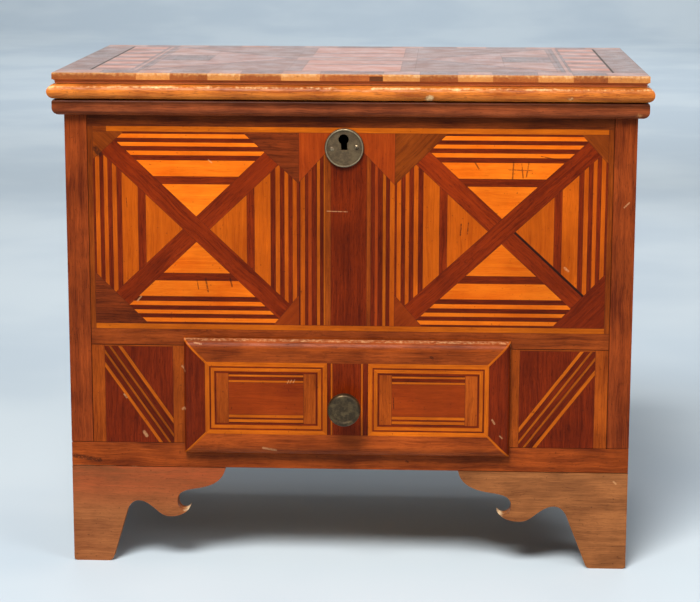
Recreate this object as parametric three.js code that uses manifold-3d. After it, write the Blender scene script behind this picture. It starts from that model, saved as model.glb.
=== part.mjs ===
// Miniature chest with a hinged lid, one lipped drawer and four bracket feet.
// Millimetres. X runs along the front, +Y to the back, +Z up.
// While the pieces are made, X is 0 at the middle of the case, Y is 0 at its front face and Z is 0
// at the floor.
import * as THREE from 'three';
import { mergeVertices } from 'three/addons/utils/BufferGeometryUtils.js';
import Module from 'manifold-3d';

const wasm = await Module();
wasm.setup();

// Case
const caseWidth = 356;
const caseDepth = 222;
const caseHeight = 236.2;
const frontThickness = 12;
const stileWidth = 14;
const bottomRailHeight = 15.7;
const sideThickness = 12;
const backThickness = 12;
const bottomThickness = 8;
const floorThickness = 8;
const floorRise = 2;
const guideThickness = 8;
const glueGap = 0.3;

// Moulding fixed round the top of the case
const caseMouldingHeight = 9.8;
const caseMouldingReach = 6.5;
const caseMouldingRound = 4.5;
const caseMouldingTopRound = 1.6;

// Lid
const lidGap = 0.4;
const lidOverhang = 6.2;
const lidEdgeHeight = 4.2;
const lidEdgeRound = 0.7;
const lidCove = 1.7;
const lidCoveStep = 0.9;
const beadRadius = 4.6;
const beadReach = 9.2;
const beadSeat = 1.5;

// Hinges
const hingeFromSide = 73;
const hingeLength = 38;
const leafSetback = 4;
const leafThickness = 1.2;
const leafClearance = 0.2;
const neckOverlap = 1;
const knuckleRadius = 2.4;
const knuckleLength = 12;
const knuckleClearance = 0.3;
const pinRadius = 1.1;
const pinClearance = 0.1;

// Drawer
const drawerCentreX = -1.2;
const drawerOpeningWidth = 196.7;
const drawerOpeningHeight = 64.5;
const drawerLip = 5;
const drawerLipEdge = 1.8;
const drawerProud = 8;
const drawerRollWidth = 7;
const drawerRollSteps = 8;
const drawerLipGap = 0.4;
const drawerClearance = 0.6;
const drawerFrontThickness = 8;
const drawerBackSpace = 7.7;
const drawerSideThickness = 6;
const drawerBottomThickness = 4;
const drawerBottomRise = 2.5;
const drawerBackDrop = 4;

// Knob
const knobRadius = 10.5;
const knobProjection = 18;
const knobHeadThickness = 6.4;
const knobNeckRadius = 3.6;
const knobBaseRadius = 5.4;
const knobCentreX = -1.9;
const knobAboveCentre = -3;
const knobBaseHeight = 1;
const knobNeckStart = 0.35;
const knobNeckEnd = 0.65;
const knobUndersideShare = 0.72;
const knobRimRadius = 2.88;
const knobDishRadius = 6.9;
const knobDishDepth = 0.8;

// Lock plate and keyhole
const lockPlateRadius = 12.25;
const lockPlateX = -3.1;
const lockPlateBelowRim = 29.4;
const lockPlateThickness = 1.2;
const lockPlateRim = 1.2;
const lockPlateRimHeight = 0.8;
const lockPlateTurn = 4.5;
const lockPlateEdgeRound = 0.4;
const lockPlateRimSlope = 0.2;
const keyholeRadius = 3.2;
const keyholeRise = 5.3;
const keyholeSlotWidth = 3.8;
const keyholeSlotDrop = 1.4;
const lockPinRadius = 1.5;
const lockPinSpacing = 15.4;
const lockPinDome = 0.6;
const lockPinGap = 0.1;

// Bracket feet
const footHeight = 63.3;
const footThickness = 9;
const frontReachLeft = 99;
const frontReachRight = 108;
const sideReach = 82;
const backReach = 46;
const footLegWidth = 25;
const footToeRound = 2;
const footLegFlare = 0.6;
const plainSweepHeight = 0.7;
const plainWingHeight = 0.8;
const curveSteps = 7;

const halfWidth = caseWidth / 2;
const caseBottom = footHeight + glueGap;
const caseTop = caseBottom + caseHeight;
const lidBottom = caseTop + lidGap;
const beadTop = lidBottom + 2 * beadRadius;
const behindFront = frontThickness + glueGap;
const aheadOfBack = caseDepth - backThickness - glueGap;
const drawerDepth = caseDepth - backThickness - drawerBackSpace;
const leafDepth = backThickness - leafSetback;
const insideHalf = halfWidth - sideThickness - glueGap;
const openingBottom = caseBottom + bottomRailHeight;
const openingTop = openingBottom + drawerOpeningHeight;
const openingLeft = drawerCentreX - drawerOpeningWidth / 2;
const openingRight = drawerCentreX + drawerOpeningWidth / 2;
const floorBottom = openingTop + floorRise;
const knobFrontY = -drawerProud - glueGap - knobProjection;
const hingeSpacing = caseWidth - 2 * hingeFromSide;
const hingeAxisY = caseDepth + knuckleClearance + knuckleRadius;
const hingeAxisZ = (caseTop + lidBottom) / 2;

function paint(color, roughness, metalness = 0) {
  return new THREE.MeshStandardMaterial({ color, roughness, metalness });
}

const mahogany = paint(0x7a3a1c, 0.4);
const inlaidFront = paint(0xb0642a, 0.4);
const darkWood = paint(0x5e2414, 0.4);
const lidWood = paint(0x8f6248, 0.38);
const footWood = paint(0x965a34, 0.5);
const plainWood = paint(0xa98257, 0.7);
const brass = paint(0x6b5836, 0.45, 0.9);

const chest = new THREE.Group();

function add(name, geometry, material) {
  const mesh = new THREE.Mesh(geometry, material);
  mesh.name = name;
  chest.add(mesh);
}

// Box between two opposite corners
function box(x0, x1, y0, y1, z0, z1) {
  const geometry = new THREE.BoxGeometry(x1 - x0, y1 - y0, z1 - z0);
  return geometry.translate((x0 + x1) / 2, (y0 + y1) / 2, (z0 + z1) / 2);
}

function enclosedVolume(points, triangles) {
  const volumes = triangles.map(([a, b, c]) => points[a].dot(points[b].clone().cross(points[c])) / 6);
  return volumes.reduce((sum, volume) => sum + volume, 0);
}

// Closed body over an outline that is placed at each of several sections, with a cap on the first
// and the last
function loft(outline, sections) {
  const count = outline.length;
  const points = sections.flatMap((place) => outline.map(place));
  const cap = THREE.ShapeUtils.triangulateShape(outline, []);
  const triangles = cap.map(([a, b, c]) => [a, c, b]);
  for (let ring = 0; ring < sections.length - 1; ring++) {
    for (let i = 0; i < count; i++) {
      const a = ring * count + i;
      const b = ring * count + ((i + 1) % count);
      triangles.push([a, b, b + count], [a, b + count, a + count]);
    }
  }
  const lastRing = (sections.length - 1) * count;
  triangles.push(...cap.map((corners) => corners.map((corner) => corner + lastRing)));
  const outward = enclosedVolume(points, triangles) > 0;
  const geometry = new THREE.BufferGeometry().setFromPoints(points);
  geometry.setIndex(triangles.flatMap(([a, b, c]) => (outward ? [a, b, c] : [a, c, b])));
  geometry.computeVertexNormals();
  return geometry;
}

function toSolid(geometry) {
  const bare = geometry.clone();
  bare.deleteAttribute('normal');
  bare.deleteAttribute('uv');
  const merged = mergeVertices(bare, 1e-4);
  return new wasm.Manifold(new wasm.Mesh({
    numProp: 3,
    vertProperties: new Float32Array(merged.attributes.position.array),
    triVerts: new Uint32Array(merged.index.array),
  }));
}

function fromSolid(solid) {
  const mesh = solid.getMesh();
  const geometry = new THREE.BufferGeometry();
  geometry.setAttribute('position', new THREE.BufferAttribute(new Float32Array(mesh.vertProperties), 3));
  geometry.setIndex(new THREE.BufferAttribute(new Uint32Array(mesh.triVerts), 1));
  geometry.computeVertexNormals();
  return geometry;
}

const join = (...pieces) => fromSolid(pieces.map(toSolid).reduce((a, b) => a.add(b)));
const cut = (piece, ...tools) => fromSolid(
  tools.map(toSolid).reduce((a, b) => a.subtract(b), toSolid(piece)));

// Points of an arc from one angle to another, in degrees
function arc(cx, cy, radius, from, to, steps) {
  return Array.from({ length: steps + 1 }, (_, i) => {
    const angle = THREE.MathUtils.degToRad(from + ((to - from) * i) / steps);
    return new THREE.Vector2(cx + radius * Math.cos(angle), cy + radius * Math.sin(angle));
  });
}

// Moulding strips round the front and the two sides, from a profile whose x is the distance out from
// the case face. The front corners are mitred, and the back ends are cut square, level with the back
// of the case.
function addMoulding(name, profile, material) {
  const frontEnd = (side) => (p) => new THREE.Vector3(side * (halfWidth + p.x), -p.x, p.y);
  const mitre = (side) => (p) => new THREE.Vector3(side * (halfWidth + p.x), glueGap - p.x, p.y);
  const square = (side) => (p) => new THREE.Vector3(side * (halfWidth + p.x), caseDepth, p.y);
  add(`${name}_front`, loft(profile, [frontEnd(-1), frontEnd(1)]), material);
  add(`${name}_left`, loft(profile, [mitre(-1), square(-1)]), material);
  add(`${name}_right`, loft(profile, [mitre(1), square(1)]), material);
}

// Front of the case: a full-width bottom rail, two stiles on it, and boards between them round the
// drawer opening
function addCaseFront() {
  const inner = halfWidth - stileWidth - glueGap;
  const sidePanelBottom = openingBottom + glueGap;
  const sidePanelTop = openingTop - glueGap;
  add('bottom_rail', box(-halfWidth, halfWidth, 0, frontThickness, caseBottom, openingBottom), mahogany);
  for (const [side, word] of [[-1, 'left'], [1, 'right']]) {
    const edges = [side * halfWidth, side * (halfWidth - stileWidth)].sort((a, b) => a - b);
    add(`front_stile_${word}`, box(...edges, 0, frontThickness, openingBottom + glueGap, caseTop), mahogany);
  }
  const board = box(-inner, inner, 0, frontThickness, openingTop, caseTop);
  add('front_board', cut(board, ...keyholeTools(frontThickness)), inlaidFront);
  const panels = { left: [-inner, openingLeft], right: [openingRight, inner] };
  for (const [word, edges] of Object.entries(panels)) {
    add(`front_panel_${word}`, box(...edges, 0, frontThickness, sidePanelBottom, sidePanelTop), darkWood);
  }
}

// The rest of the case: sides and back, the chest floor, the board under the drawer and the two
// drawer guides
function addCaseBoards() {
  for (const [side, word] of [[-1, 'left'], [1, 'right']]) {
    const edges = [side * halfWidth, side * (halfWidth - sideThickness)].sort((a, b) => a - b);
    add(`side_board_${word}`, box(...edges, behindFront, caseDepth, caseBottom, caseTop), mahogany);
  }
  const back = box(-insideHalf, insideHalf, caseDepth - backThickness, caseDepth, caseBottom, caseTop);
  const recesses = hingeCentres().map((x) => leafRecess(x, caseTop - leafThickness, caseTop + 1));
  add('back_board', cut(back, ...recesses), plainWood);
  const bottomZ = [openingBottom - bottomThickness, openingBottom];
  add('bottom_board', box(-insideHalf, insideHalf, behindFront, aheadOfBack, ...bottomZ), plainWood);
  const floorZ = [floorBottom, floorBottom + floorThickness];
  add('chest_floor', box(-insideHalf, insideHalf, behindFront, aheadOfBack, ...floorZ), plainWood);
  const guideZ = [openingBottom + glueGap, floorBottom - glueGap];
  const guides = {
    left: [openingLeft - guideThickness, openingLeft],
    right: [openingRight, openingRight + guideThickness],
  };
  for (const [word, edges] of Object.entries(guides)) {
    add(`drawer_guide_${word}`, box(...edges, behindFront, aheadOfBack, ...guideZ), plainWood);
  }
}

// Square-topped strip with a rounded lower edge, just below the lid
function addCaseMoulding() {
  const bottom = caseTop - caseMouldingHeight;
  const lowCentre = [caseMouldingReach - caseMouldingRound, bottom + caseMouldingRound];
  const highCentre = [caseMouldingReach - caseMouldingTopRound, caseTop - caseMouldingTopRound];
  const profile = [
    new THREE.Vector2(glueGap, bottom),
    ...arc(...lowCentre, caseMouldingRound, -90, 0, 8),
    ...arc(...highCentre, caseMouldingTopRound, 0, 90, 4),
    new THREE.Vector2(glueGap, caseTop),
  ];
  addMoulding('case_moulding', profile, mahogany);
}

// The lid is one board. Its front and side edges are stepped back below a narrow cove, and a
// half-round bead is planted in the step. The back edge is flush with the case.
function addLid() {
  const seatTop = beadTop + glueGap;
  const coveBottom = seatTop + lidCoveStep;
  const edgeBottom = coveBottom + lidCove;
  const lidTop = edgeBottom + lidEdgeHeight;
  const rings = [
    [beadSeat, lidBottom],
    [beadSeat, seatTop],
    [lidOverhang - lidCove, seatTop],
    ...arc(lidOverhang, coveBottom, lidCove, 180, 90, 4).map((p) => [p.x, p.y]),
    [lidOverhang, lidTop - lidEdgeRound],
    [lidOverhang - lidEdgeRound, lidTop],
  ];
  const plan = [[-1, 0], [1, 0], [1, 1], [-1, 1]].map(([x, y]) => new THREE.Vector2(x, y));
  const sections = rings.map(([reach, z]) => (p) => new THREE.Vector3(
    p.x * (halfWidth + reach), p.y > 0 ? caseDepth : -reach, z));
  const recesses = hingeCentres().map((x) => leafRecess(x, lidBottom - 1, lidBottom + leafThickness));
  add('lid_board', cut(loft(plan, sections), ...recesses), lidWood);
  const bead = [
    new THREE.Vector2(beadSeat + glueGap, lidBottom),
    ...arc(beadReach - beadRadius, lidBottom + beadRadius, beadRadius, -90, 90, 14),
    new THREE.Vector2(beadSeat + glueGap, beadTop),
  ];
  addMoulding('lid_bead', bead, mahogany);
}

const hingeCentres = () => [-hingeSpacing / 2, hingeSpacing / 2];

// Shallow pocket for a hinge leaf, open to the back
function leafRecess(x, z0, z1) {
  const half = hingeLength / 2 + leafClearance;
  const front = caseDepth - leafDepth - leafClearance;
  return box(x - half, x + half, front, caseDepth + 1, z0 - leafClearance, z1 + leafClearance);
}

function barrel(x0, x1, radius) {
  const cylinder = new THREE.CylinderGeometry(radius, radius, x1 - x0, 24);
  return cylinder.rotateZ(Math.PI / 2).translate((x0 + x1) / 2, hingeAxisY, hingeAxisZ);
}

// Butt hinges let into the back board and the lid board. The case leaf holds the two outer knuckles
// of each, and the lid leaf the middle one.
function addHinges() {
  const outer = hingeLength / 2;
  const middle = knuckleLength / 2;
  const knuckles = {
    case: [[-outer, -middle - knuckleClearance], [middle + knuckleClearance, outer]],
    lid: [[-middle, middle]],
  };
  const leafZ = { case: [caseTop - leafThickness, caseTop], lid: [lidBottom, lidBottom + leafThickness] };
  hingeCentres().forEach((x, i) => {
    const word = i === 0 ? 'left' : 'right';
    const bore = barrel(x - hingeLength, x + hingeLength, pinRadius + pinClearance);
    for (const owner of ['case', 'lid']) {
      const plate = box(x - outer, x + outer, caseDepth - leafDepth, caseDepth, ...leafZ[owner]);
      const neckYZ = [caseDepth - neckOverlap, hingeAxisY, ...leafZ[owner]];
      const necks = knuckles[owner].map(([a, b]) => box(x + a, x + b, ...neckYZ));
      const rolls = knuckles[owner].map(([a, b]) => barrel(x + a, x + b, knuckleRadius));
      add(`hinge_${word}_${owner}_leaf`, cut(join(plate, ...necks, ...rolls), bore), brass);
    }
    add(`hinge_${word}_pin`, barrel(x - outer, x + outer, pinRadius), brass);
  });
}

// Turned part on the front of the chest, from a profile of radius and distance out from its seat
function turned(profile, x, seatY, z, segments) {
  const points = profile.map(([radius, out]) => new THREE.Vector2(radius, out));
  const lathe = new THREE.LatheGeometry(points, segments);
  return lathe.rotateZ(Math.PI).translate(x, seatY, z);
}

// Keyhole: a round hole with a straight slot below it, turned with the plate
function keyholeTools(depth) {
  const hole = new THREE.CylinderGeometry(keyholeRadius, keyholeRadius, 1, 24);
  const slotLength = keyholeRise + keyholeSlotDrop;
  const slot = new THREE.BoxGeometry(keyholeSlotWidth, 1, slotLength);
  slot.translate(0, 0, keyholeRise - slotLength / 2);
  hole.translate(0, 0, keyholeRise);
  const lockZ = caseTop - lockPlateBelowRim;
  const reach = 2 * (depth + lockPlateThickness + lockPlateRimHeight + glueGap + 1);
  return [hole, slot].map((tool) => tool.scale(1, reach, 1)
    .rotateY(-THREE.MathUtils.degToRad(lockPlateTurn)).translate(lockPlateX, 0, lockZ));
}

// Round brass plate with a raised rim, held by two round-headed pins
function addLockPlate() {
  const lockZ = caseTop - lockPlateBelowRim;
  const seatY = -glueGap;
  const rimTop = lockPlateThickness + lockPlateRimHeight;
  const field = lockPlateRadius - lockPlateRim;
  const profile = [
    [0, 0], [lockPlateRadius, 0], [lockPlateRadius, rimTop - lockPlateEdgeRound],
    [lockPlateRadius - lockPlateEdgeRound, rimTop], [field + lockPlateRimSlope, rimTop],
    [field, lockPlateThickness], [0, lockPlateThickness],
  ];
  const plate = turned(profile, lockPlateX, seatY, lockZ, 40);
  add('lock_plate', cut(plate, ...keyholeTools(frontThickness)), brass);
  const dome = arc(0, 0, lockPinRadius, 0, 90, 4).map((p) => [Math.max(p.x, 0), p.y * lockPinDome]);
  dome[dome.length - 1][0] = 0;
  for (const [side, word] of [[-1, 'left'], [1, 'right']]) {
    const turn = THREE.MathUtils.degToRad(lockPlateTurn);
    const x = lockPlateX + (side * lockPinSpacing * Math.cos(turn)) / 2;
    const z = lockZ + (side * lockPinSpacing * Math.sin(turn)) / 2;
    const pin = turned([[0, 0], ...dome], x, seatY - lockPlateThickness - lockPinGap, z, 16);
    add(`lock_plate_pin_${word}`, pin, brass);
  }
}

// Drawer front: one board whose lip overlaps the opening all round and rolls over to a flat raised
// field
function drawerFront() {
  const halfLipWidth = drawerOpeningWidth / 2 + drawerLip;
  const halfLipHeight = drawerOpeningHeight / 2 + drawerLip;
  const centreZ = (openingBottom + openingTop) / 2;
  const bodyInset = drawerLip + drawerClearance;
  const rollStart = -drawerLipGap - drawerLipEdge;
  const rollDepth = drawerProud + rollStart;
  const roll = Array.from({ length: drawerRollSteps + 1 }, (_, i) => {
    const angle = (Math.PI / 2) * (i / drawerRollSteps);
    return [drawerRollWidth * (1 - Math.cos(angle)), rollStart - rollDepth * Math.sin(angle)];
  });
  const rings = [
    [bodyInset, drawerFrontThickness], [bodyInset, -drawerLipGap], [0, -drawerLipGap], ...roll,
  ];
  const plan = [[-1, -1], [1, -1], [1, 1], [-1, 1]].map(([x, y]) => new THREE.Vector2(x, y));
  return loft(plan, rings.map(([inset, y]) => (p) => new THREE.Vector3(
    drawerCentreX + p.x * (halfLipWidth - inset), y, centreZ + p.y * (halfLipHeight - inset))));
}

function addDrawer() {
  add('drawer_front', drawerFront(), inlaidFront);
  const left = openingLeft + drawerClearance;
  const right = openingRight - drawerClearance;
  const bottom = openingBottom + drawerClearance;
  const top = openingTop - drawerClearance;
  const start = drawerFrontThickness + glueGap;
  const innerLeft = left + drawerSideThickness + glueGap;
  const innerRight = right - drawerSideThickness - glueGap;
  const boardZ = [bottom + drawerBottomRise, bottom + drawerBottomRise + drawerBottomThickness];
  const sideYZ = [start, drawerDepth, bottom, top];
  add('drawer_side_left', box(left, left + drawerSideThickness, ...sideYZ), plainWood);
  add('drawer_side_right', box(right - drawerSideThickness, right, ...sideYZ), plainWood);
  add('drawer_bottom', box(innerLeft, innerRight, start, drawerDepth, ...boardZ), plainWood);
  const backZ = [boardZ[1] + glueGap, top - drawerBackDrop];
  const backY = [drawerDepth - drawerSideThickness, drawerDepth];
  add('drawer_back', box(innerLeft, innerRight, ...backY, ...backZ), plainWood);
}

// Knob: a waisted neck on a small foot, and a flat-faced round head with a thin rolled rim
function addKnob() {
  const headBack = knobProjection - knobHeadThickness;
  const neck = new THREE.SplineCurve([
    new THREE.Vector2(knobBaseRadius, knobBaseHeight),
    new THREE.Vector2(knobNeckRadius, knobNeckStart * headBack),
    new THREE.Vector2(knobNeckRadius, knobNeckEnd * headBack),
    new THREE.Vector2(knobRadius * knobUndersideShare, headBack),
  ]).getPoints(curveSteps + 1).map((p) => [p.x, p.y]);
  const rimCentre = [knobRadius - knobRimRadius, headBack + knobHeadThickness / 2];
  const edge = arc(...rimCentre, knobRimRadius, -40, 90, 8).map((p) => [p.x, p.y]);
  const dish = [[knobDishRadius, knobProjection - knobDishDepth], [0, knobProjection]];
  const profile = [[0, 0], [knobBaseRadius, 0], ...neck, ...edge, ...dish];
  const seatY = -drawerProud - glueGap;
  const z = (openingBottom + openingTop) / 2 + knobAboveCentre;
  add('knob', turned(profile, knobCentreX, seatY, z, 36), brass);
}

// Scrolled bracket outline. x is the distance from the outer corner and y the height.
// From the leg it rises to an arch and dips to a drop with a pointed tip. A round bite parts the tip
// from the wing.
function scrolledBracket(reach) {
  const across = (share) => share * reach;
  const up = (share) => share * footHeight;
  const shape = new THREE.Shape();
  shape.moveTo(0, footHeight).lineTo(0, footToeRound).quadraticCurveTo(0, 0, footToeRound, 0);
  shape.lineTo(footLegWidth - footToeRound, 0);
  shape.quadraticCurveTo(footLegWidth, 0, footLegWidth + footLegFlare, footToeRound);
  shape.lineTo(across(0.355), up(0.54));
  shape.bezierCurveTo(across(0.385), up(0.665), across(0.44), up(0.66), across(0.485), up(0.62));
  shape.bezierCurveTo(across(0.55), up(0.56), across(0.57), up(0.48), across(0.635), up(0.48));
  shape.bezierCurveTo(across(0.7), up(0.48), across(0.747), up(0.52), across(0.768), up(0.59));
  shape.bezierCurveTo(across(0.742), up(0.52), across(0.683), up(0.545), across(0.684), up(0.648));
  shape.bezierCurveTo(across(0.685), up(0.735), across(0.727), up(0.758), across(0.788), up(0.774));
  shape.bezierCurveTo(across(0.89), up(0.798), across(0.98), up(0.837), across(1), up(1));
  return dropRepeats(shape.getPoints(curveSteps));
}

// Plain bracket: a leg that curves out in one hollow sweep to the end of the wing
function plainBracket(reach) {
  const up = (share) => share * footHeight;
  const shape = new THREE.Shape();
  shape.moveTo(0, footHeight).lineTo(0, footToeRound).quadraticCurveTo(0, 0, footToeRound, 0);
  shape.lineTo(footLegWidth, 0);
  shape.quadraticCurveTo(footLegWidth + footToeRound, up(plainSweepHeight), reach, up(plainWingHeight));
  shape.lineTo(reach, footHeight);
  return dropRepeats(shape.getPoints(curveSteps));
}

const dropRepeats = (points) => points.filter((p, i) => p.distanceTo(points.at(i - 1)) > 0.05);

// Bracket along one side of a corner, with its outer end mitred against its neighbour
function bracket(outline, outward, along, corner, mitreGap) {
  const place = (depth) => (p) => corner.clone()
    .addScaledVector(along, Math.max(p.x, depth + mitreGap))
    .addScaledVector(outward, -depth)
    .add(new THREE.Vector3(0, 0, p.y));
  return loft(outline, [place(0), place(footThickness)]);
}

function addFeet() {
  const back = new THREE.Vector3(0, 1, 0);
  const front = new THREE.Vector3(0, -1, 0);
  const reaches = { left: frontReachLeft, right: frontReachRight };
  for (const [side, word] of [[-1, 'left'], [1, 'right']]) {
    const outward = new THREE.Vector3(side, 0, 0);
    const inward = new THREE.Vector3(-side, 0, 0);
    const frontCorner = new THREE.Vector3(side * halfWidth, 0, 0);
    const backCorner = new THREE.Vector3(side * halfWidth, caseDepth, 0);
    const scroll = scrolledBracket(reaches[word]);
    const sideScroll = scrolledBracket(sideReach);
    add(`front_foot_${word}`, bracket(scroll, front, inward, frontCorner, 0), footWood);
    add(`front_foot_${word}_side`, bracket(sideScroll, outward, back, frontCorner, glueGap), footWood);
    add(`back_foot_${word}_side`, bracket(sideScroll, outward, front, backCorner, 0), footWood);
    add(`back_foot_${word}`, bracket(plainBracket(backReach), back, inward, backCorner, glueGap), footWood);
  }
}

addCaseFront();
addCaseBoards();
addCaseMoulding();
addLockPlate();
addFeet();
addHinges();
addLid();
addDrawer();
addKnob();

// The origin is on the floor, below the centre of the whole chest with its knob and hinge knuckles
chest.position.y = -(knobFrontY + hingeAxisY + knuckleRadius) / 2;

export default chest;
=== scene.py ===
"""Miniature inlaid chest: finish and fine shape of every piece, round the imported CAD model."""
import math
import random

import bmesh
import bpy
from mathutils import Matrix, Vector, noise
from mathutils.geometry import interpolate_bezier


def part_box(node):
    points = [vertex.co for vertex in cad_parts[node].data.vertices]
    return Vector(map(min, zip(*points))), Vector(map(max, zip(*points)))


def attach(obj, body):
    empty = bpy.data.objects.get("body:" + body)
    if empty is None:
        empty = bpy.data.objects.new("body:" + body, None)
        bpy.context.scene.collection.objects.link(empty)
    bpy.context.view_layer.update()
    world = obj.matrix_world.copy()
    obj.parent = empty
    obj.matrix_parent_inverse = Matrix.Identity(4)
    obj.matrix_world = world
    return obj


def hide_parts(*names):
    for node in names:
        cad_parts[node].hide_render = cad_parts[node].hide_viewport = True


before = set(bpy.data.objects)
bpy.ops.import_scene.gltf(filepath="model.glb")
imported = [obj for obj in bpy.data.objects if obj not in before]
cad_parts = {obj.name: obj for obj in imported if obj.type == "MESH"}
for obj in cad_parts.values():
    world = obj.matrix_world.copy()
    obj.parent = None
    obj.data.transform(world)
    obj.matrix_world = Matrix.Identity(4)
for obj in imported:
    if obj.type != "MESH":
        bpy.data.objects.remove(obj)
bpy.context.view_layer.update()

scene = bpy.context.scene

# Bottom rail. One plain mahogany board across the whole front, below the drawer. It is planed,
# polished with shellac, and glued to the front ends of the side boards.

MM = 0.001
draw = random.Random(1837)


def node(tree, kind, inputs=None, **settings):
    """Adds a shader node, and fills its inputs with values or with other nodes' outputs."""
    made = tree.nodes.new("ShaderNode" + kind)
    for field, value in settings.items():
        setattr(made, field, value)
    for key, value in (inputs or {}).items():
        if isinstance(value, bpy.types.NodeSocket):
            tree.links.new(value, made.inputs[key])
        else:
            made.inputs[key].default_value = value
    return made


def calc(tree, operation, *values, clamp=False):
    """A sum, product or the like of numbers and sockets."""
    made = node(tree, "Math", dict(enumerate(values)), operation=operation, use_clamp=clamp)
    return made.outputs[0]


def ramp(tree, value, low, high, to_low=0.0, to_high=1.0):
    """Value spread smoothly from low..high to to_low..to_high."""
    return node(tree, "MapRange", {0: value, 1: low, 2: high, 3: to_low, 4: to_high},
                interpolation_type="SMOOTHSTEP").outputs[0]


def mix(tree, factor, first, second, kind="MIX"):
    """Two colours mixed."""
    return node(tree, "Mix", {0: factor, 6: first, 7: second},
                data_type="RGBA", blend_type=kind).outputs[2]


def colour(code):
    """A web colour as the linear colour that a shader takes."""
    parts = [int(code[i:i + 2], 16) / 255 for i in (1, 3, 5)]
    return (*[p / 12.92 if p <= 0.04045 else ((p + 0.055) / 1.055) ** 2.4 for p in parts], 1.0)


def new_group(name, inputs, outputs):
    """An empty node group with named sockets, and its two end nodes."""
    group = bpy.data.node_groups.new(name, "ShaderNodeTree")
    for way, sockets in (("INPUT", inputs), ("OUTPUT", outputs)):
        for label, kind in sockets.items():
            group.interface.new_socket(label, in_out=way, socket_type="NodeSocket" + kind)
    return group, group.nodes.new("NodeGroupInput").outputs, group.nodes.new("NodeGroupOutput")


def feed(tree, target, sockets):
    """Links sockets to the inputs of a node."""
    for label, socket in sockets.items():
        tree.links.new(socket, target.inputs[label])


def scaled(tree, vector, by):
    return node(tree, "VectorMath", {0: vector, "Scale": by}, operation="SCALE").outputs[0]


def stretched(tree, vector, by):
    return node(tree, "VectorMath", {0: vector, 1: by}, operation="MULTIPLY").outputs[0]


def cloudy(tree, place, scale, detail, roughness=0.5):
    """Noise from 0 to 1 at a place."""
    return node(tree, "TexNoise", {"Vector": place, "Scale": scale, "Detail": detail,
                                   "Roughness": roughness}).outputs["Fac"]


def wood_figure():
    """Streaks, fibres, pores and cloudy patches along the grain that each face was given."""
    group, given, end = new_group(
        "wood figure",
        {"Pale": "Color", "Deep": "Color", "Streaks": "Float", "Pores": "Float",
         "Clouds": "Float", "Gloss": "Float"},
        {"Color": "Color", "Roughness": "Float", "Height": "Float"})
    grain = node(group, "Attribute", attribute_name="grain").outputs["Vector"]
    tone = node(group, "Attribute", attribute_name="tone").outputs["Fac"]
    wander = node(group, "TexNoise", {"Vector": grain, "Scale": 0.03, "Detail": 1.0})
    drift = stretched(group, wander.outputs["Color"], (0.0, 4.0, 4.0))
    grain = node(group, "VectorMath", {0: grain, 1: drift}, operation="ADD").outputs[0]

    def fibres(along, across, detail):
        return cloudy(group, stretched(group, grain, (along, across, across)), 1.0, detail, 0.62)

    def swing(figure, strength):
        return calc(group, "MULTIPLY", calc(group, "SUBTRACT", figure, 0.5), strength)

    streak, fine = fibres(0.011, 0.42, 5.0), fibres(0.05, 1.9, 3.0)
    pore = ramp(group, fibres(0.2, 3.1, 1.0), 0.58, 0.7)
    cloud = fibres(0.028, 0.05, 2.0)
    pale_share = calc(group, "MULTIPLY_ADD", swing(streak, given["Streaks"]), 1.5, 0.5)
    pale_share = calc(group, "MULTIPLY_ADD", swing(fine, given["Streaks"]), 1.5, pale_share)
    pale_share = calc(group, "MULTIPLY_ADD", swing(cloud, given["Clouds"]), 1.5, pale_share,
                      clamp=True)
    body = mix(group, pale_share, given["Deep"], given["Pale"])
    pored = calc(group, "MULTIPLY", pore, given["Pores"])
    shade = calc(group, "MULTIPLY", tone, calc(group, "MULTIPLY_ADD", pored, -0.5, 1.0))
    rough = calc(group, "ADD", given["Gloss"], calc(group, "MULTIPLY", pored, 0.18))
    height = calc(group, "SUBTRACT", calc(group, "MULTIPLY", fine, 0.35), pored)
    feed(group, end, {"Color": scaled(group, body, shade), "Roughness": rough, "Height": height})
    return group


# Small marks on the front, in millimetres: both ends (x from its middle, height), half the width
PALE_MARKS = [(-134, 172, -131.5, 175, 0.5), (-143.5, 111, -142, 109, 0.6), (96, 89, 97.5, 87.5, 0.5),
              (-131, 86.5, -129.5, 84, 1.1), (-106, 130, -104, 128, 0.7), (-104, 103.5, -106, 102, 0.8),
              (91, 99.5, 92.5, 97, 0.6), (-54, 79, -46, 77.5, 0.8), (135, 196, 137, 194, 0.8),
              (171, 234.5, 174, 237.5, 0.5), (-14, 230.5, -1, 230.2, 0.3), (-38.5, 121.6, -37.6, 123.4, 0.3),
              (-36.8, 121.8, -35.8, 123.6, 0.3), (-34.8, 122, -33.8, 123.8, 0.3),
              (-88, 262, -86, 260.5, 0.5), (169, 58, 170.5, 56.5, 0.6), (-177, 63.7, -163, 63.6, 0.3),
              (-160, 63.6, -150, 63.6, 0.26), (-139, 63.5, -136, 63.6, 0.3), (-97.5, 146.8, -93, 146, 0.5)]
DARK_MARKS = [(102, 262, 101.5, 252, 0.5), (107, 261, 108, 252.5, 0.45), (111.5, 262, 110, 253, 0.5),
              (99, 257.5, 114, 257, 0.35), (78, 262, 80.5, 258, 0.5), (-90.5, 187, -89, 178.5, 0.6),
              (-75, 187, -73.8, 182, 0.55), (-158.5, 268.5, -156.5, 265.5, 2.2), (52, 139.5, 53, 139, 0.9),
              (37, 69.5, 38, 69, 0.7), (-96, 186, -95, 180, 0.35), (70, 223, 69.6, 216, 0.5),
              (74.5, 224, 74, 217, 0.4), (119, 266, 134, 263, 0.35), (-176, 70, -160, 67.5, 1.6),
              (28.5, 113, 28.8, 106, 0.4), (-140, 238, -139.5, 232, 0.3)]
MARKED_BEFORE = -97.0


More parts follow.
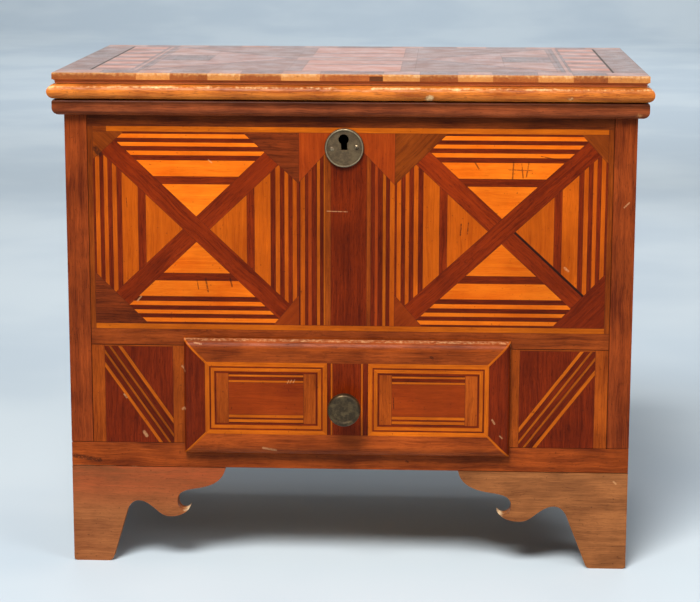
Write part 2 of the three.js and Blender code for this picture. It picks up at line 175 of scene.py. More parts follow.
def handled_polish():
    """Old shellac: uneven sheen, grime, scratches and stains, and bare wood on worn edges."""
    group, given, end = new_group(
        "handled polish", {"Color": "Color", "Roughness": "Float", "Bare": "Color"},
        {"Color": "Color", "Roughness": "Float", "Height": "Float"})
    place = node(group, "TexCoord").outputs["Object"]
    spot = scaled(group, place, 1 / MM)
    flat = stretched(group, spot, (1, 0, 1))
    depth = node(group, "SeparateXYZ", {0: spot}).outputs["Y"]
    at_front = calc(group, "LESS_THAN", depth, MARKED_BEFORE)

    def marks(segments):
        total = None
        for x0, z0, x1, z1, half in segments:
            run = Vector((x1 - x0, 0, z1 - z0))
            away = node(group, "VectorMath", {0: flat, 1: (x0, 0, z0)}, operation="SUBTRACT").outputs[0]
            along = node(group, "VectorMath", {0: away, 1: run / run.length_squared},
                         operation="DOT_PRODUCT").outputs["Value"]
            held = calc(group, "MULTIPLY", along, 1.0, clamp=True)
            foot = scaled(group, tuple(run), held)
            gap = node(group, "VectorMath", {0: away, 1: foot}, operation="DISTANCE").outputs["Value"]
            mark = ramp(group, gap, half * 0.5, half * 1.3, 1.0, 0.0)
            total = mark if total is None else calc(group, "MAXIMUM", total, mark)
        return calc(group, "MULTIPLY", total, at_front)

    def cloud(scale, detail):
        return cloudy(group, spot, scale, detail, 0.6)

    broken = cloud(1.3, 2.0)
    ragged = ramp(group, broken, 0.36, 0.5, 0.25, 1.0)
    scratched = calc(group, "MULTIPLY", marks(PALE_MARKS), ragged)
    stained = calc(group, "MULTIPLY", marks(DARK_MARKS), ragged)
    specks = calc(group, "MULTIPLY", ramp(group, cloud(0.55, 1.0), 0.72, 0.76), at_front)
    darkening = ramp(group, cloud(0.024, 4.0), 0.34, 0.66, 0.86, 1.05)
    dirty = scaled(group, given["Color"], darkening)
    stain = calc(group, "MULTIPLY", stained, 0.72)
    stain = calc(group, "MAXIMUM", stain, calc(group, "MULTIPLY", specks, 0.4))
    dark = mix(group, stain, dirty, colour("#2a120a"))
    scuffed = mix(group, calc(group, "MULTIPLY", scratched, 0.33), dark, colour("#e8b27c"))
    # This mask marks worn places, and on the bead and the top edges it also places painted highlights.
    wear = node(group, "Attribute", attribute_name="wear").outputs["Fac"]
    uneven = calc(group, "MULTIPLY_ADD", calc(group, "SUBTRACT", cloud(0.5, 5.0), 0.5), 1.1, wear)
    bare = calc(group, "MULTIPLY", ramp(group, uneven, 0.35, 1.15), ramp(group, wear, 0.0, 0.3))
    worn = mix(group, bare, scuffed, given["Bare"])
    sheen = ramp(group, cloud(0.06, 3.0), 0.3, 0.7, -0.05, 0.07)
    rough = calc(group, "ADD", given["Roughness"], sheen)
    rough = calc(group, "ADD", rough, calc(group, "MULTIPLY", bare, 0.25), clamp=True)
    height = calc(group, "MULTIPLY", cloud(0.2, 2.0), 0.5)
    feed(group, end, {"Color": worn, "Roughness": rough, "Height": height})
    return group


WOOD_FIGURE = wood_figure()
HANDLED_POLISH = handled_polish()


def new_material(name):
    """A new material, with its node tree and its shader."""
    material = bpy.data.materials.new(name)
    material.use_nodes = True
    return material, material.node_tree, material.node_tree.nodes["Principled BSDF"]


def timber(name, pale, deep, streaks=1.0, pores=0.6, clouds=0.6, gloss=0.36, bare="#d9a878",
           relief=0.35, shine=0.08):
    """A polished wood."""
    material, tree, shader = new_material(name)
    figure = node(tree, "Group", {"Pale": colour(pale), "Deep": colour(deep), "Streaks": streaks,
                                  "Pores": pores, "Clouds": clouds, "Gloss": gloss},
                  node_tree=WOOD_FIGURE).outputs
    polish = node(tree, "Group", {"Color": figure["Color"], "Roughness": figure["Roughness"],
                                  "Bare": colour(bare)}, node_tree=HANDLED_POLISH).outputs
    height = calc(tree, "ADD", figure["Height"], polish["Height"])
    bump = node(tree, "Bump", {"Strength": relief, "Distance": 0.06 * MM, "Height": height})
    feed(tree, shader, {"Base Color": polish["Color"], "Roughness": polish["Roughness"],
                        "Normal": bump.outputs[0]})
    shader.inputs["Specular IOR Level"].default_value = shine
    return material


mahogany = timber("polished mahogany", "#984217", "#5d210a", streaks=1.1, pores=0.8, clouds=1.0)
rail_mahogany = timber("orange mahogany", "#a04817", "#632509", streaks=1.1, pores=0.7, clouds=1.2)


def corners(name):
    """Lowest and highest corner of a CAD node, in millimetres."""
    low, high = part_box(name)
    return low / MM, high / MM


def new_mesh():
    """An empty mesh, in millimetres, that carries the grain, the tone (which in places holds painted light
    and shade), and the worn places and painted highlights of its wood.
    """
    bm = bmesh.new()
    bm.loops.layers.float_vector.new("grain")
    bm.faces.layers.float.new("tone")
    bm.verts.layers.float.new("wear")
    return bm


def plank(low, high):
    bm = new_mesh()
    size = Matrix.Diagonal((*(high - low), 1))
    bmesh.ops.create_cube(bm, size=1, matrix=Matrix.Translation((low + high) / 2) @ size)
    return bm


def run_grain(bm, faces, along, tone=1.0, spread=0.05):
    """Lays the faces' grain along a direction, each time from a fresh place in the plank."""
    grain, shade = bm.loops.layers.float_vector["grain"], bm.faces.layers.float["tone"]
    along = Vector(along).normalized()
    aside = along.cross(Vector((0, 0, 1)) if abs(along.y) > 0.9 else Vector((0, 1, 0))).normalized()
    through = along.cross(aside)
    start = Vector([draw.uniform(-400, 400) for _ in range(3)])
    strength = tone * draw.uniform(1 - spread, 1 + spread)
    for face in faces:
        face[shade] = strength
        for loop in face.loops:
            at = loop.vert.co
            loop[grain] = start + Vector((at.dot(along), at.dot(aside), at.dot(through)))


def fit_piece(name, bm, materials, body, nodes, rounding=0.0, segments=2, crease=None):
    """Makes a piece of the mesh. It rides on its body in place of its CAD nodes.

    Its edges are rounded, or it is smooth all over but for edges sharper than the crease.
    """
    bmesh.ops.scale(bm, vec=(MM, MM, MM), verts=bm.verts)
    mesh = bpy.data.meshes.new(name)
    for face in bm.faces:
        face.smooth = crease is not None
    bm.to_mesh(mesh)
    bm.free()
    if crease is not None:
        mesh.set_sharp_from_angle(angle=math.radians(crease))
    for material in materials:
        mesh.materials.append(material)
    piece = bpy.data.objects.new(name, mesh)
    scene.collection.objects.link(piece)
    if rounding:
        edge = piece.modifiers.new("rounded edges", "BEVEL")
        edge.width, edge.segments = rounding * MM, segments
        edge.limit_method, edge.angle_limit = "ANGLE", math.radians(40)
    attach(piece, body)
    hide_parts(*nodes)


def fit_board(name, of_node, material, body, along, tone):
    """A plain board in the place of one CAD node, with its edges eased."""
    bm = plank(*corners(of_node))
    run_grain(bm, bm.faces, along, tone)
    fit_piece(name, bm, [material], body, [of_node], rounding=0.35)


LENGTHWAYS, UPRIGHT, FRONT_TO_BACK = (1, 0, 0), (0, 0, 1), (0, 1, 0)
fit_board("rail_below_drawer", "bottom_rail", rail_mahogany, "case", LENGTHWAYS, 0.92)

# Stiles. Two narrow upright mahogany boards at the ends of the front. They are glued to the side
# boards, and stand on the bottom rail.

for side in ("left", "right"):
    fit_board(f"stile_{side}", f"front_stile_{side}", mahogany, "case", UPRIGHT, 0.94)

# Front board. A pine board above the drawer, covered with two star panels of satinwood and
# mahogany veneers, sawn into strips and glued down flush. Fine dark glue lines part the strips.

SPECIES = {
    "satinwood": timber("satinwood", "#ff8217", "#dd5c04", streaks=0.8, pores=0.25, clouds=0.8,
                        gloss=0.34),
    # The upright satinwood is a darker copy of satinwood: a painted dimmer sheen, for how upright grain
    # catches less of the light from above than lengthwise grain.
    "satinwood_upright": timber("upright satinwood painted dim", "#c2590a", "#983d03", streaks=0.9,
                                pores=0.3, clouds=0.8, gloss=0.34),
    "string": timber("satinwood stringing", "#cb640d", "#974205", streaks=0.9, pores=0.3,
                     clouds=0.8, gloss=0.34),
    "amber": timber("amber mahogany", "#a54b10", "#6e2a06", streaks=1.0, pores=0.6, clouds=1.0),
    "band": timber("red mahogany", "#862b06", "#551603", streaks=1.1, pores=0.9, clouds=0.9),
    "dark": timber("dark mahogany", "#7c2707", "#4a1203", streaks=1.0, pores=0.8, clouds=0.7),
    "plum": timber("plum mahogany", "#883712", "#501d08", streaks=1.0, pores=0.9, clouds=0.8),
    "red": timber("red cedar", "#a8420d", "#7e2806", streaks=0.8, pores=0.4, clouds=0.7),
    "gap": timber("lost veneer", "#2c0f06", "#1c0a04", streaks=0.8, pores=0.9, gloss=0.7, shine=0.1),
    "glue": timber("glue line", "#5f240c", "#3a1206", streaks=0.6, pores=0.2, gloss=0.5, shine=0.1),
    "mahogany": mahogany,
    "rail": rail_mahogany,
}
KINDS = list(SPECIES)
GLUE_LINE = 0.1


def faces_of(items):
    return [item for item in items if isinstance(item, bmesh.types.BMFace)]


def saw(bm, faces, point, normal):
    """Cuts the faces with a plane, and returns those behind it and those in front of it."""
    point, normal = Vector(point), Vector(normal).normalized()
    parts = dict.fromkeys(item for face in faces for item in (face, *face.edges, *face.verts))
    done = bmesh.ops.bisect_plane(bm, geom=list(parts), dist=1e-4, plane_co=point, plane_no=normal)
    ahead, behind = [], []
    for face in faces_of(done["geom"]):
        side = ahead if (face.calc_center_median() - point).dot(normal) > 0 else behind
        side.append(face)
    return behind, ahead


def facing(bm, normal):
    return [face for face in bm.faces if face.normal.dot(Vector(normal)) > 0.99]


def set_kind(faces, kind):
    for face in faces:
        face.material_index = KINDS.index(kind)


def inset_ring(bm, faces, width):
    """Insets the faces, and returns the ring of new faces round them."""
    return bmesh.ops.inset_region(bm, faces=faces, thickness=width, use_boundary=True,
                                  use_even_offset=True)["faces"]


def lay(bm, faces, kind, along=LENGTHWAYS, tone=1.0):
    """Takes a veneer for the faces, with a glue line round them."""
    if faces:
        ring = inset_ring(bm, faces, GLUE_LINE)
        set_kind(faces, kind)
        run_grain(bm, faces, along, tone)
        set_kind(ring, "glue")
        run_grain(bm, ring, along)


def saw_off(bm, faces, point, outward, kind, along=LENGTHWAYS, tone=1.0):
    """Saws off what is beyond a plane and lays it with veneer. Returns the rest."""
    rest, piece = saw(bm, faces, point, outward)
    lay(bm, piece, kind, along, tone)
    return rest


def lay_strips(bm, faces, start, across, widths, kinds, along, tone=1.0):
    """Saws the faces into strips side by side, and lays one kind of veneer in each."""
    across = Vector(across)
    reach, rest, pieces = 0.0, faces, []
    for width in widths:
        reach += width
        piece, rest = saw(bm, rest, Vector(start) + across * reach, across)
        pieces.append(piece)
    pieces.append(rest)
    tones = tone if isinstance(tone, tuple) else (tone,) * len(pieces)
    for piece, kind, own_tone in zip(pieces, kinds, tones):
        lay(bm, piece, kind, along, own_tone)


RAY_WIDTHS = (1.2, 2.8, 2.5, 2.6, 2.7, 2.9, 3.0, 10.2, 4.8)
BAND_HALF = 5.8
GAP_WIDTH = 1.4


def star_panel(bm, faces, left, right, bottom, top, centre, snips, tones, rising, lost_sliver=False):
    """A square of four stepped triangles between crossed bands, with its corners snipped off."""
    low_tone, high_tone, upright_tone = tones
    y = faces[0].calc_center_median().y
    middle = Vector((centre[0], y, centre[1]))
    for (x0, z0, x1, z1), kind, along, tone in snips:
        outward = Vector((z1 - z0, 0, x0 - x1))
        if outward.dot(Vector((x0, y, z0)) - middle) < 0:
            outward = -outward
        faces = saw_off(bm, faces, (x0, y, z0), outward, kind, along, tone)
    across, up = (right - left) / 2, (top - bottom) / 2
    falls, rises = Vector((across, 0, -up)), Vector((across, 0, up))
    whole, parted = (rises, falls) if rising else (falls, rises)
    square_to_whole = Vector((-whole.z, 0, whole.x)).normalized()
    square_to_parted = Vector((-parted.z, 0, parted.x)).normalized()
    rest, above = saw(bm, faces, middle + square_to_whole * BAND_HALF, square_to_whole)
    below, band = saw(bm, rest, middle - square_to_whole * BAND_HALF, square_to_whole)
    lay(bm, band, "band", whole, 1.14 if rising else 1.05)
    sectors = []
    for half in (above, below):
        rest, first = saw(bm, half, middle + square_to_parted * BAND_HALF, square_to_parted)
        second, arm = saw(bm, rest, middle - square_to_parted * BAND_HALF, square_to_parted)
        sectors += [first, second]
        if lost_sliver and half is below:
            arm, gap = saw(bm, arm, middle + square_to_parted * (BAND_HALF - GAP_WIDTH),
                           square_to_parted)
            lay(bm, gap, "gap", parted)
        lay(bm, arm, "band", parted, 1.22 if half is above else 0.97)
    for sector in sectors:
        towards = sector[0].calc_center_median() - middle
        if abs(towards.x) > abs(towards.z):
            start = (left if towards.x < 0 else right, y, 0)
            inward = (1 if towards.x < 0 else -1, 0, 0)
            # Upright rays take the darker copy of satinwood, with its painted dimmer sheen.
            light, along, tone = "satinwood_upright", UPRIGHT, upright_tone
        else:
            start = (0, y, bottom if towards.z < 0 else top)
            inward = (0, 0, 1 if towards.z < 0 else -1)
            light, along = "satinwood", LENGTHWAYS
            tone = low_tone if towards.z < 0 else high_tone
        kinds = ("dark", light) * 3 + ("dark", light, "band", light)
        lay_strips(bm, sector, start, inward, RAY_WIDTHS, kinds, along, tone)


RAIL_TOP, HEAD_FOOT, END_STRIP, LOST_STRING = 154, 283, 160.5, -152
FIELD_FOOT, FIELD_HEAD = 157.5, 279.5
HUB_LEFT, HUB_RIGHT = -31.5, 28.5
# Strips between the stars, from the left: wood, width and tone. The last takes what is left
HUB_STRIPS = (("dark", 0.9, 0.8), ("satinwood_upright", 3.0, 0.84), ("dark", 1.9, 0.8),
              ("red", 2.3, 0.9), ("dark", 3.2, 0.8), ("string", 2.0, 0.74), ("dark", 2.2, 0.8),
              ("string", 1.2, 0.6), ("amber", 3.3, 0.78), ("band", 22.5, 0.8), ("amber", 2.5, 0.95),
              ("dark", 2.5, 0.8), ("red", 2.0, 0.88), ("dark", 3.0, 0.8), ("string", 2.0, 0.75),
              ("dark", 2.4, 0.8), ("satinwood_upright", None, 0.93))
# Snipped corners of each star: both ends of the cut (x, height), wood, grain and tone
RISING, FALLING = (1, 0, 1), (1, 0, -1)
LEFT_SNIPS = (((-141, FIELD_HEAD, -END_STRIP, 262), "amber", FALLING, 0.72),
              ((-66.5, FIELD_HEAD, HUB_LEFT, 247.7), "plum", LENGTHWAYS, 1.0),
              ((-END_STRIP, 190.4, -127, FIELD_FOOT), "plum", LENGTHWAYS, 0.9),
              ((HUB_LEFT, 177, -47.5, FIELD_FOOT), "red", RISING, 0.6))
RIGHT_SNIPS = (((61, FIELD_HEAD, HUB_RIGHT, 247.4), "amber", RISING, 0.64),
               ((144, FIELD_HEAD, END_STRIP, 261.6), "amber", FALLING, 0.78),
               ((END_STRIP, 192.4, 127.4, FIELD_FOOT), "dark", RISING, 1.0),
               ((HUB_RIGHT, 177.6, 46, FIELD_FOOT), "red", RISING, 0.6))
# Red wedges under the lock plate: a point of the cut (x, height), its outward side, and tone
WEDGES = ((HUB_LEFT, 248.5, (-16, 0, 14.5), 1.0), (HUB_RIGHT, 247.3, (17, 0, 16.5), 0.94))


def front_inlay(bm, faces):
    """Lays the whole board: rails, end strips, strings, both stars, and the strips between them."""
    y = faces[0].calc_center_median().y
    down = (0, 0, -1)
    field = saw_off(bm, faces, (0, y, RAIL_TOP), down, "rail", LENGTHWAYS, 0.86)
    # The strip under the moulding is painted dark, at tone 0.52, as painted shadow of the moulding above it.
    field = saw_off(bm, field, (0, y, HEAD_FOOT), UPRIGHT, "rail", LENGTHWAYS, 0.52)
    for side in (-1, 1):
        field = saw_off(bm, field, (side * END_STRIP, y, 0), (side, 0, 0), "amber", UPRIGHT, 0.72)
    field = saw_off(bm, field, (0, y, FIELD_FOOT), down, "string", LENGTHWAYS, 0.9)
    field, high_string = saw(bm, field, (0, y, FIELD_HEAD), UPRIGHT)
    high_string = saw_off(bm, high_string, (LOST_STRING, y, 0), (-1, 0, 0), "amber", LENGTHWAYS, 0.8)
    lay(bm, high_string, "string", LENGTHWAYS, 0.98)
    left_panel, field = saw(bm, field, (HUB_LEFT, y, 0), LENGTHWAYS)
    hub, right_panel = saw(bm, field, (HUB_RIGHT, y, 0), LENGTHWAYS)
    star_panel(bm, left_panel, -END_STRIP, HUB_LEFT, FIELD_FOOT, FIELD_HEAD, (-96, 218.3),
               LEFT_SNIPS, (0.77, 0.92, 0.95), rising=False)
    # The right star's lower triangles are set darker than the left's (0.69 against 0.77): painted shade,
    # offsetting the side lamp's extra light on them.
    star_panel(bm, right_panel, HUB_RIGHT, END_STRIP, FIELD_FOOT, FIELD_HEAD, (95.3, 218.6),
               RIGHT_SNIPS, (0.69, 0.87, 1.0), rising=True, lost_sliver=True)
    for x, z, outward, tone in WEDGES:
        hub = saw_off(bm, hub, (x, y, z), outward, "red", UPRIGHT, tone)
    kinds, widths, tones = zip(*HUB_STRIPS)
    lay_strips(bm, hub, (HUB_LEFT, y, 0), LENGTHWAYS, widths[:-1], kinds, UPRIGHT, tones)


KEYHOLE_MIDDLE = (-3.5, 273.8)
MORTISE_HALF = (3.4, 5.4)


def cut_mortise(bm):
    """Opens a rectangular mortise through the board behind the lock plate."""
    x, z = KEYHOLE_MIDDLE
    half_x, half_z = MORTISE_HALF
    loops = []
    for normal in ((0, -1, 0), (0, 1, 0)):
        cells = [face for face in facing(bm, normal)
                 if min(v.co.x for v in face.verts) < x + half_x
                 and max(v.co.x for v in face.verts) > x - half_x
                 and min(v.co.z for v in face.verts) < z + half_z
                 and max(v.co.z for v in face.verts) > z - half_z]
        for side in (-1, 1):
            cells, _ = saw(bm, cells, (x + side * half_x, 0, 0), (side, 0, 0))
            cells, _ = saw(bm, cells, (0, 0, z + side * half_z), (0, 0, side))
        edges = [edge for face in cells for edge in face.edges]
        loops += [edge for edge in edges if edges.count(edge) == 1]
        bmesh.ops.delete(bm, geom=cells, context="FACES")
    walls = bmesh.ops.bridge_loops(bm, edges=loops)["faces"]
    # The mortise walls take the near-black lost-veneer wood at half tone: painted shade inside the hole.
    run_grain(bm, walls, FRONT_TO_BACK, 0.5)
    set_kind(walls, "gap")


bm = plank(*corners("front_board"))
run_grain(bm, bm.faces, LENGTHWAYS, 0.8)
set_kind(bm.faces, "mahogany")
front_inlay(bm, facing(bm, (0, -1, 0)))
cut_mortise(bm)
fit_piece("star_front", bm, SPECIES.values(), "case", ["front_board"])

# Panels beside the drawer. Dark mahogany boards with an amber border and a sloping band of four
# satinwood strings, let in flush like the rest of the inlay.

PANEL_FOOT, PANEL_HEAD, PANEL_OUTSIDE = 79.6, 142.6, 155.5
PANEL_INSIDE = {-1: 112, 1: 108}
STRING_WIDTHS = (2.1, 3.0, 1.5, 3.1, 1.5, 3.5)
BAND_WIDTH, BAND_SHIFT = 16.9, 0.7
STRING_TONES = {-1: (0.86, 0.8, 0.56, 0.66, 0.52, 0.7, 0.84),
                1: (0.94, 0.85, 0.66, 0.8, 0.62, 0.8, 0.9)}


def side_panel_inlay(bm, faces, side):
    """Lays one panel: amber border, dark field, and the strings that slope across it."""
    y = faces[0].calc_center_median().y
    outside, inside = PANEL_OUTSIDE, PANEL_INSIDE[side]
    panel = saw_off(bm, faces, (side * outside, y, 0), (side, 0, 0), "amber", UPRIGHT, 1.0)
    panel = saw_off(bm, panel, (side * inside, y, 0), (-side, 0, 0), "amber", UPRIGHT, 0.92)
    panel = saw_off(bm, panel, (0, y, PANEL_HEAD), UPRIGHT, "amber", LENGTHWAYS, 0.9)
    slope = Vector((side * (inside - outside), 0, PANEL_FOOT - PANEL_HEAD))
    across = Vector((-slope.z, 0, slope.x)).normalized()
    middle = Vector((side * (outside + inside) / 2, y, (PANEL_FOOT + PANEL_HEAD) / 2))
    near_side = middle + across * (BAND_SHIFT - BAND_WIDTH / 2)
    far_side = middle + across * (BAND_SHIFT + BAND_WIDTH / 2)
    panel = saw_off(bm, panel, far_side, across, "dark", UPRIGHT, 0.98)
    band = saw_off(bm, panel, near_side, -across, "dark", UPRIGHT, 0.98)
    lay_strips(bm, band, near_side, across, STRING_WIDTHS, ("string", "dark") * 3 + ("string",),
               slope, STRING_TONES[side])


for word, side in (("left", -1), ("right", 1)):
    bm = plank(*corners(f"front_panel_{word}"))
    run_grain(bm, bm.faces, UPRIGHT, 0.8)
    set_kind(bm.faces, "dark")
    side_panel_inlay(bm, facing(bm, (0, -1, 0)), side)
    fit_piece(f"strung_panel_{word}", bm, SPECIES.values(), "case", [f"front_panel_{word}"])

# Sides and back. Wide mahogany side boards, polished like the front, and a plain unpolished pine
# back nailed between them. Pockets in the top of the back board take the hinge leaves.

pine = timber("old pine", "#b98a55", "#85582f", streaks=1.3, pores=0.3, clouds=0.9, gloss=0.62,
              bare="#cfa877", relief=0.5, shine=0.1)
for side in ("left", "right"):
    fit_board(f"case_side_{side}", f"side_board_{side}", mahogany, "case", UPRIGHT, 0.95)


LEAF = {"thickness": 1.2, "depth": 8.0, "slack": 0.2}


def verts_of(items):
    return [item for item in items if isinstance(item, bmesh.types.BMVert)]


def draw_out(bm, faces):
    """Extrudes the faces, and returns the faces and the vertices at the far end."""
    done = bmesh.ops.extrude_face_region(bm, geom=faces)["geom"]
    bmesh.ops.delete(bm, geom=faces, context="FACES")
    return faces_of(done), verts_of(done)


def let_in_leaf(bm, leaf, opening):
    """Sinks a pocket for a hinge leaf, open to the back, in the face that looks up or down."""
    low, high = corners(leaf)
    slack = LEAF["slack"]
    rear = max(vert.co.y for vert in bm.verts)
    flat_z = max(vert.co.z * opening for vert in bm.verts) * opening
    floor_z = flat_z - opening * (LEAF["thickness"] + slack)
    front = rear - LEAF["depth"] - slack
    middle, half = (low.x + high.x) / 2, (high.x - low.x) / 2 + slack

    def cell(normal, at_edge, inwards):
        found = [face for face in facing(bm, normal)
                 if abs(face.calc_center_median().dot(Vector(normal)) - at_edge) < 0.01
                 and min(v.co.x for v in face.verts) < middle < max(v.co.x for v in face.verts)]
        for side in (-1, 1):
            found, _ = saw(bm, found, (middle + side * half, 0, 0), (side, 0, 0))
        return saw(bm, found, (0, front, floor_z), inwards)[1]

    under = cell((0, 0, opening), flat_z * opening, (0, 1, 0))
    behind = cell((0, 1, 0), rear, (0, 0, opening))
    _, moved = draw_out(bm, under)
    bmesh.ops.translate(bm, vec=(0, 0, floor_z - flat_z), verts=moved)
    edge_verts = {vert for vert in moved if abs(vert.co.y - rear) < 0.01}
    shut = [face for face in bm.faces if face not in behind and edge_verts <= set(face.verts)
            and all(abs(vert.co.y - rear) < 0.01 for vert in face.verts)]
    bmesh.ops.delete(bm, geom=shut + behind, context="FACES")
    bmesh.ops.remove_doubles(bm, verts=bm.verts, dist=0.01)
    bm.normal_update()


bm = plank(*corners("back_board"))
for side in ("left", "right"):
    let_in_leaf(bm, f"hinge_{side}_case_leaf", 1)
run_grain(bm, bm.faces, LENGTHWAYS)
bmesh.ops.recalc_face_normals(bm, faces=bm.faces)
fit_piece("case_back", bm, [pine], "case", ["back_board"], rounding=0.25)

# Boards inside the case. The chest floor, the board that the drawer slides on, and the two guides
# that keep the drawer straight are plain pine, glued between the sides.

fit_board("chest_floor_board", "chest_floor", pine, "case", LENGTHWAYS, 1.02)
fit_board("board_under_drawer", "bottom_board", pine, "case", LENGTHWAYS, 0.9)
for side in ("left", "right"):
    fit_board(f"guide_{side}", f"drawer_guide_{side}", pine, "case", FRONT_TO_BACK, 0.9)

# Case moulding. Mahogany strip with a rounded lower edge, mitred at the front corners, glued and
# pinned round the front and sides just below the lid.

moulding_mahogany = timber("moulding mahogany", "#9a4c27", "#632c16", streaks=1.2, pores=0.7,
                           clouds=1.3, gloss=0.33, bare="#d38a50")
STEP_ALONG = 2.2
MOULDING = {"lower_round": 4.5, "upper_round": 1.6, "face_steps": (4.4, 3.2, 2.2), "sunk": 0.3}
# Painted shade under the lid's bead: the case moulding's top is darkened to tone 0.34 for 2 mm and brightens
# to full over the next 2.6 mm.
PAINTED_SHADE_UNDER_LID = {"darkening": 0.34, "lit_share": 0.66, "dark_to": 2.0, "fade": 2.6}


def arc_points(centre, radius, first, last, steps):
    return [(centre[0] + radius * math.cos(math.radians(first + (last - first) * i / steps)),
             centre[1] + radius * math.sin(math.radians(first + (last - first) * i / steps)))
            for i in range(steps + 1)]


def thicken(bm, faces):
    """Extrudes the faces, keeps them as the near end, and returns the vertices at the far end."""
    return verts_of(bmesh.ops.extrude_face_region(bm, geom=faces, use_keep_orig=True)["geom"])


def moulding_run(profile, way, back):
    """One strip. The profile's first number is its distance out from the case's face."""
    bm = new_mesh()
    if way == "front":
        start = [Vector((-CASE_HALF - out, CASE_FRONT - out, z)) for out, z in profile]
        shift = [Vector((2 * (CASE_HALF + out), 0, 0)) for out, z in profile]
    else:
        side = -1 if way == "left" else 1
        mitre = CASE_FRONT + MOULDING["sunk"]
        start = [Vector((side * (CASE_HALF + out), mitre - out, z)) for out, z in profile]
        shift = [Vector((0, back - (mitre - out), 0)) for out, z in profile]
    end_face = bm.faces.new([bm.verts.new(point) for point in start])
    for vert in thicken(bm, [end_face]):
        near = min(range(len(start)), key=lambda i: (vert.co - start[i]).length)
        vert.co += shift[near]
    long_edges = [edge for edge in bm.edges if edge.calc_length() > 100]
    cuts = int(max(edge.calc_length() for edge in long_edges) / STEP_ALONG)
    bmesh.ops.subdivide_edges(bm, edges=long_edges, cuts=cuts, use_grid_fill=True)
    bmesh.ops.recalc_face_normals(bm, faces=bm.faces)
    bm.normal_update()
    run_grain(bm, bm.faces, LENGTHWAYS if way == "front" else FRONT_TO_BACK, 1.0)
    return bm


def chip_away(bm, chips):
    """Takes out small chips. Each has a place, a radius, a depth and how raw its wood is."""
    wear = bm.verts.layers.float["wear"]
    for point, radius, depth, rawness in chips:
        for vert in bm.verts:
            near = 1 - (vert.co - Vector(point)).length / radius
            if near > 0:
                vert.co -= vert.normal * depth * near
                vert[wear] = max(vert[wear], min(1.0, rawness * (0.4 + near))) if rawness else 0.0


case_low, case_high = corners("case_moulding_front")
rail_low, rail_high = corners("bottom_rail")
CASE_HALF, CASE_FRONT = rail_high.x, rail_low.y
out = case_high.x - CASE_HALF
lower, upper = MOULDING["lower_round"], MOULDING["upper_round"]
profile = [(MOULDING["sunk"], case_low.z)]
profile += arc_points((out - lower, case_low.z + lower), lower, -90, 0, 12)
profile += [(out, case_high.z - step) for step in MOULDING["face_steps"]]
profile += arc_points((out - upper, case_high.z - upper), upper, 0, 90, 6)
profile += [(MOULDING["sunk"], case_high.z)]
MOULDING_CHIPS = (((178, CASE_FRONT - 6, 292), 2.4, 0.5, 0.8),
                  ((-60, CASE_FRONT - 6, 291.5), 1.8, 0.35, 0.6))
for way in ("front", "left", "right"):
    bm = moulding_run(profile, way, corners(f"case_moulding_{way}")[1].y)
    tone = bm.faces.layers.float["tone"]
    # Painted shade: darkens the strip's top, where the lid's bead overhangs it.
    for face in bm.faces:
        lit = case_high.z - face.calc_center_median().z - PAINTED_SHADE_UNDER_LID["dark_to"]
        lit = PAINTED_SHADE_UNDER_LID["lit_share"] * max(0.0, lit) / PAINTED_SHADE_UNDER_LID["fade"]
        face[tone] *= min(1.0, PAINTED_SHADE_UNDER_LID["darkening"] + lit)
    chip_away(bm, MOULDING_CHIPS)
    fit_piece(f"moulding_{way}", bm, [moulding_mahogany], "case", [f"case_moulding_{way}"],
              crease=40)

# Lock plate. Round brass plate with a raised rim and a keyhole, gone olive with age. Two
# round-headed pins hold it over the lock in the front board.

PLATE = {"x": -3.1, "z": 270.4, "field": 11.0, "crest": 11.75, "thickness": 1.2, "turn": 4.5,
         "corners": 64}
KEYHOLE = {"radius": 3.2, "rise": 5.3, "slot": 3.8, "drop": 1.4}


def old_brass_group():
    """Brass under a brown-green film: cloudy film, pits, and bright scratches where it is rubbed."""
    group, given, end = new_group(
        "old brass", {"Film": "Color", "Metal": "Color", "Rubbed": "Float"},
        {"Color": "Color", "Roughness": "Float", "Metallic": "Float", "Height": "Float"})
    place = node(group, "TexCoord").outputs["Object"]

    patch = ramp(group, cloudy(group, place, 190, 4.0, 0.65), 0.42, 0.68)
    fine = cloudy(group, place, 1500, 3.0, 0.65)
    scratch = cloudy(group, stretched(group, place, (0.25, 1.0, 2.4)), 1400, 2.0)
    lines = ramp(group, scratch, 0.66, 0.72)
    share = calc(group, "MULTIPLY", patch, given["Rubbed"])
    share = calc(group, "MAXIMUM", share, calc(group, "MULTIPLY", lines, 0.5), clamp=True)
    shade = ramp(group, fine, 0.3, 0.7, 0.75, 1.15)
    tinted = mix(group, share, scaled(group, given["Film"], shade), given["Metal"])
    rough = ramp(group, calc(group, "ADD", share, calc(group, "MULTIPLY", fine, 0.4)), 0.0, 1.3,
                 0.5, 0.26)
    metallic = calc(group, "MULTIPLY_ADD", share, 0.3, 0.7)
    feed(group, end, {"Color": tinted, "Roughness": rough, "Metallic": metallic,
                      "Height": calc(group, "SUBTRACT", fine, lines)})
    return group


OLD_BRASS = old_brass_group()


def brass(name, film, metal, rubbed):
    """Brass with a film of age."""
    material, tree, shader = new_material(name)
    skin = node(tree, "Group", {"Film": colour(film), "Metal": colour(metal), "Rubbed": rubbed},
                node_tree=OLD_BRASS).outputs
    bump = node(tree, "Bump", {"Strength": 0.3, "Distance": 0.05 * MM, "Height": skin["Height"]})
    feed(tree, shader, {"Base Color": skin["Color"], "Roughness": skin["Roughness"],
                        "Metallic": skin["Metallic"], "Normal": bump.outputs[0]})
    return material


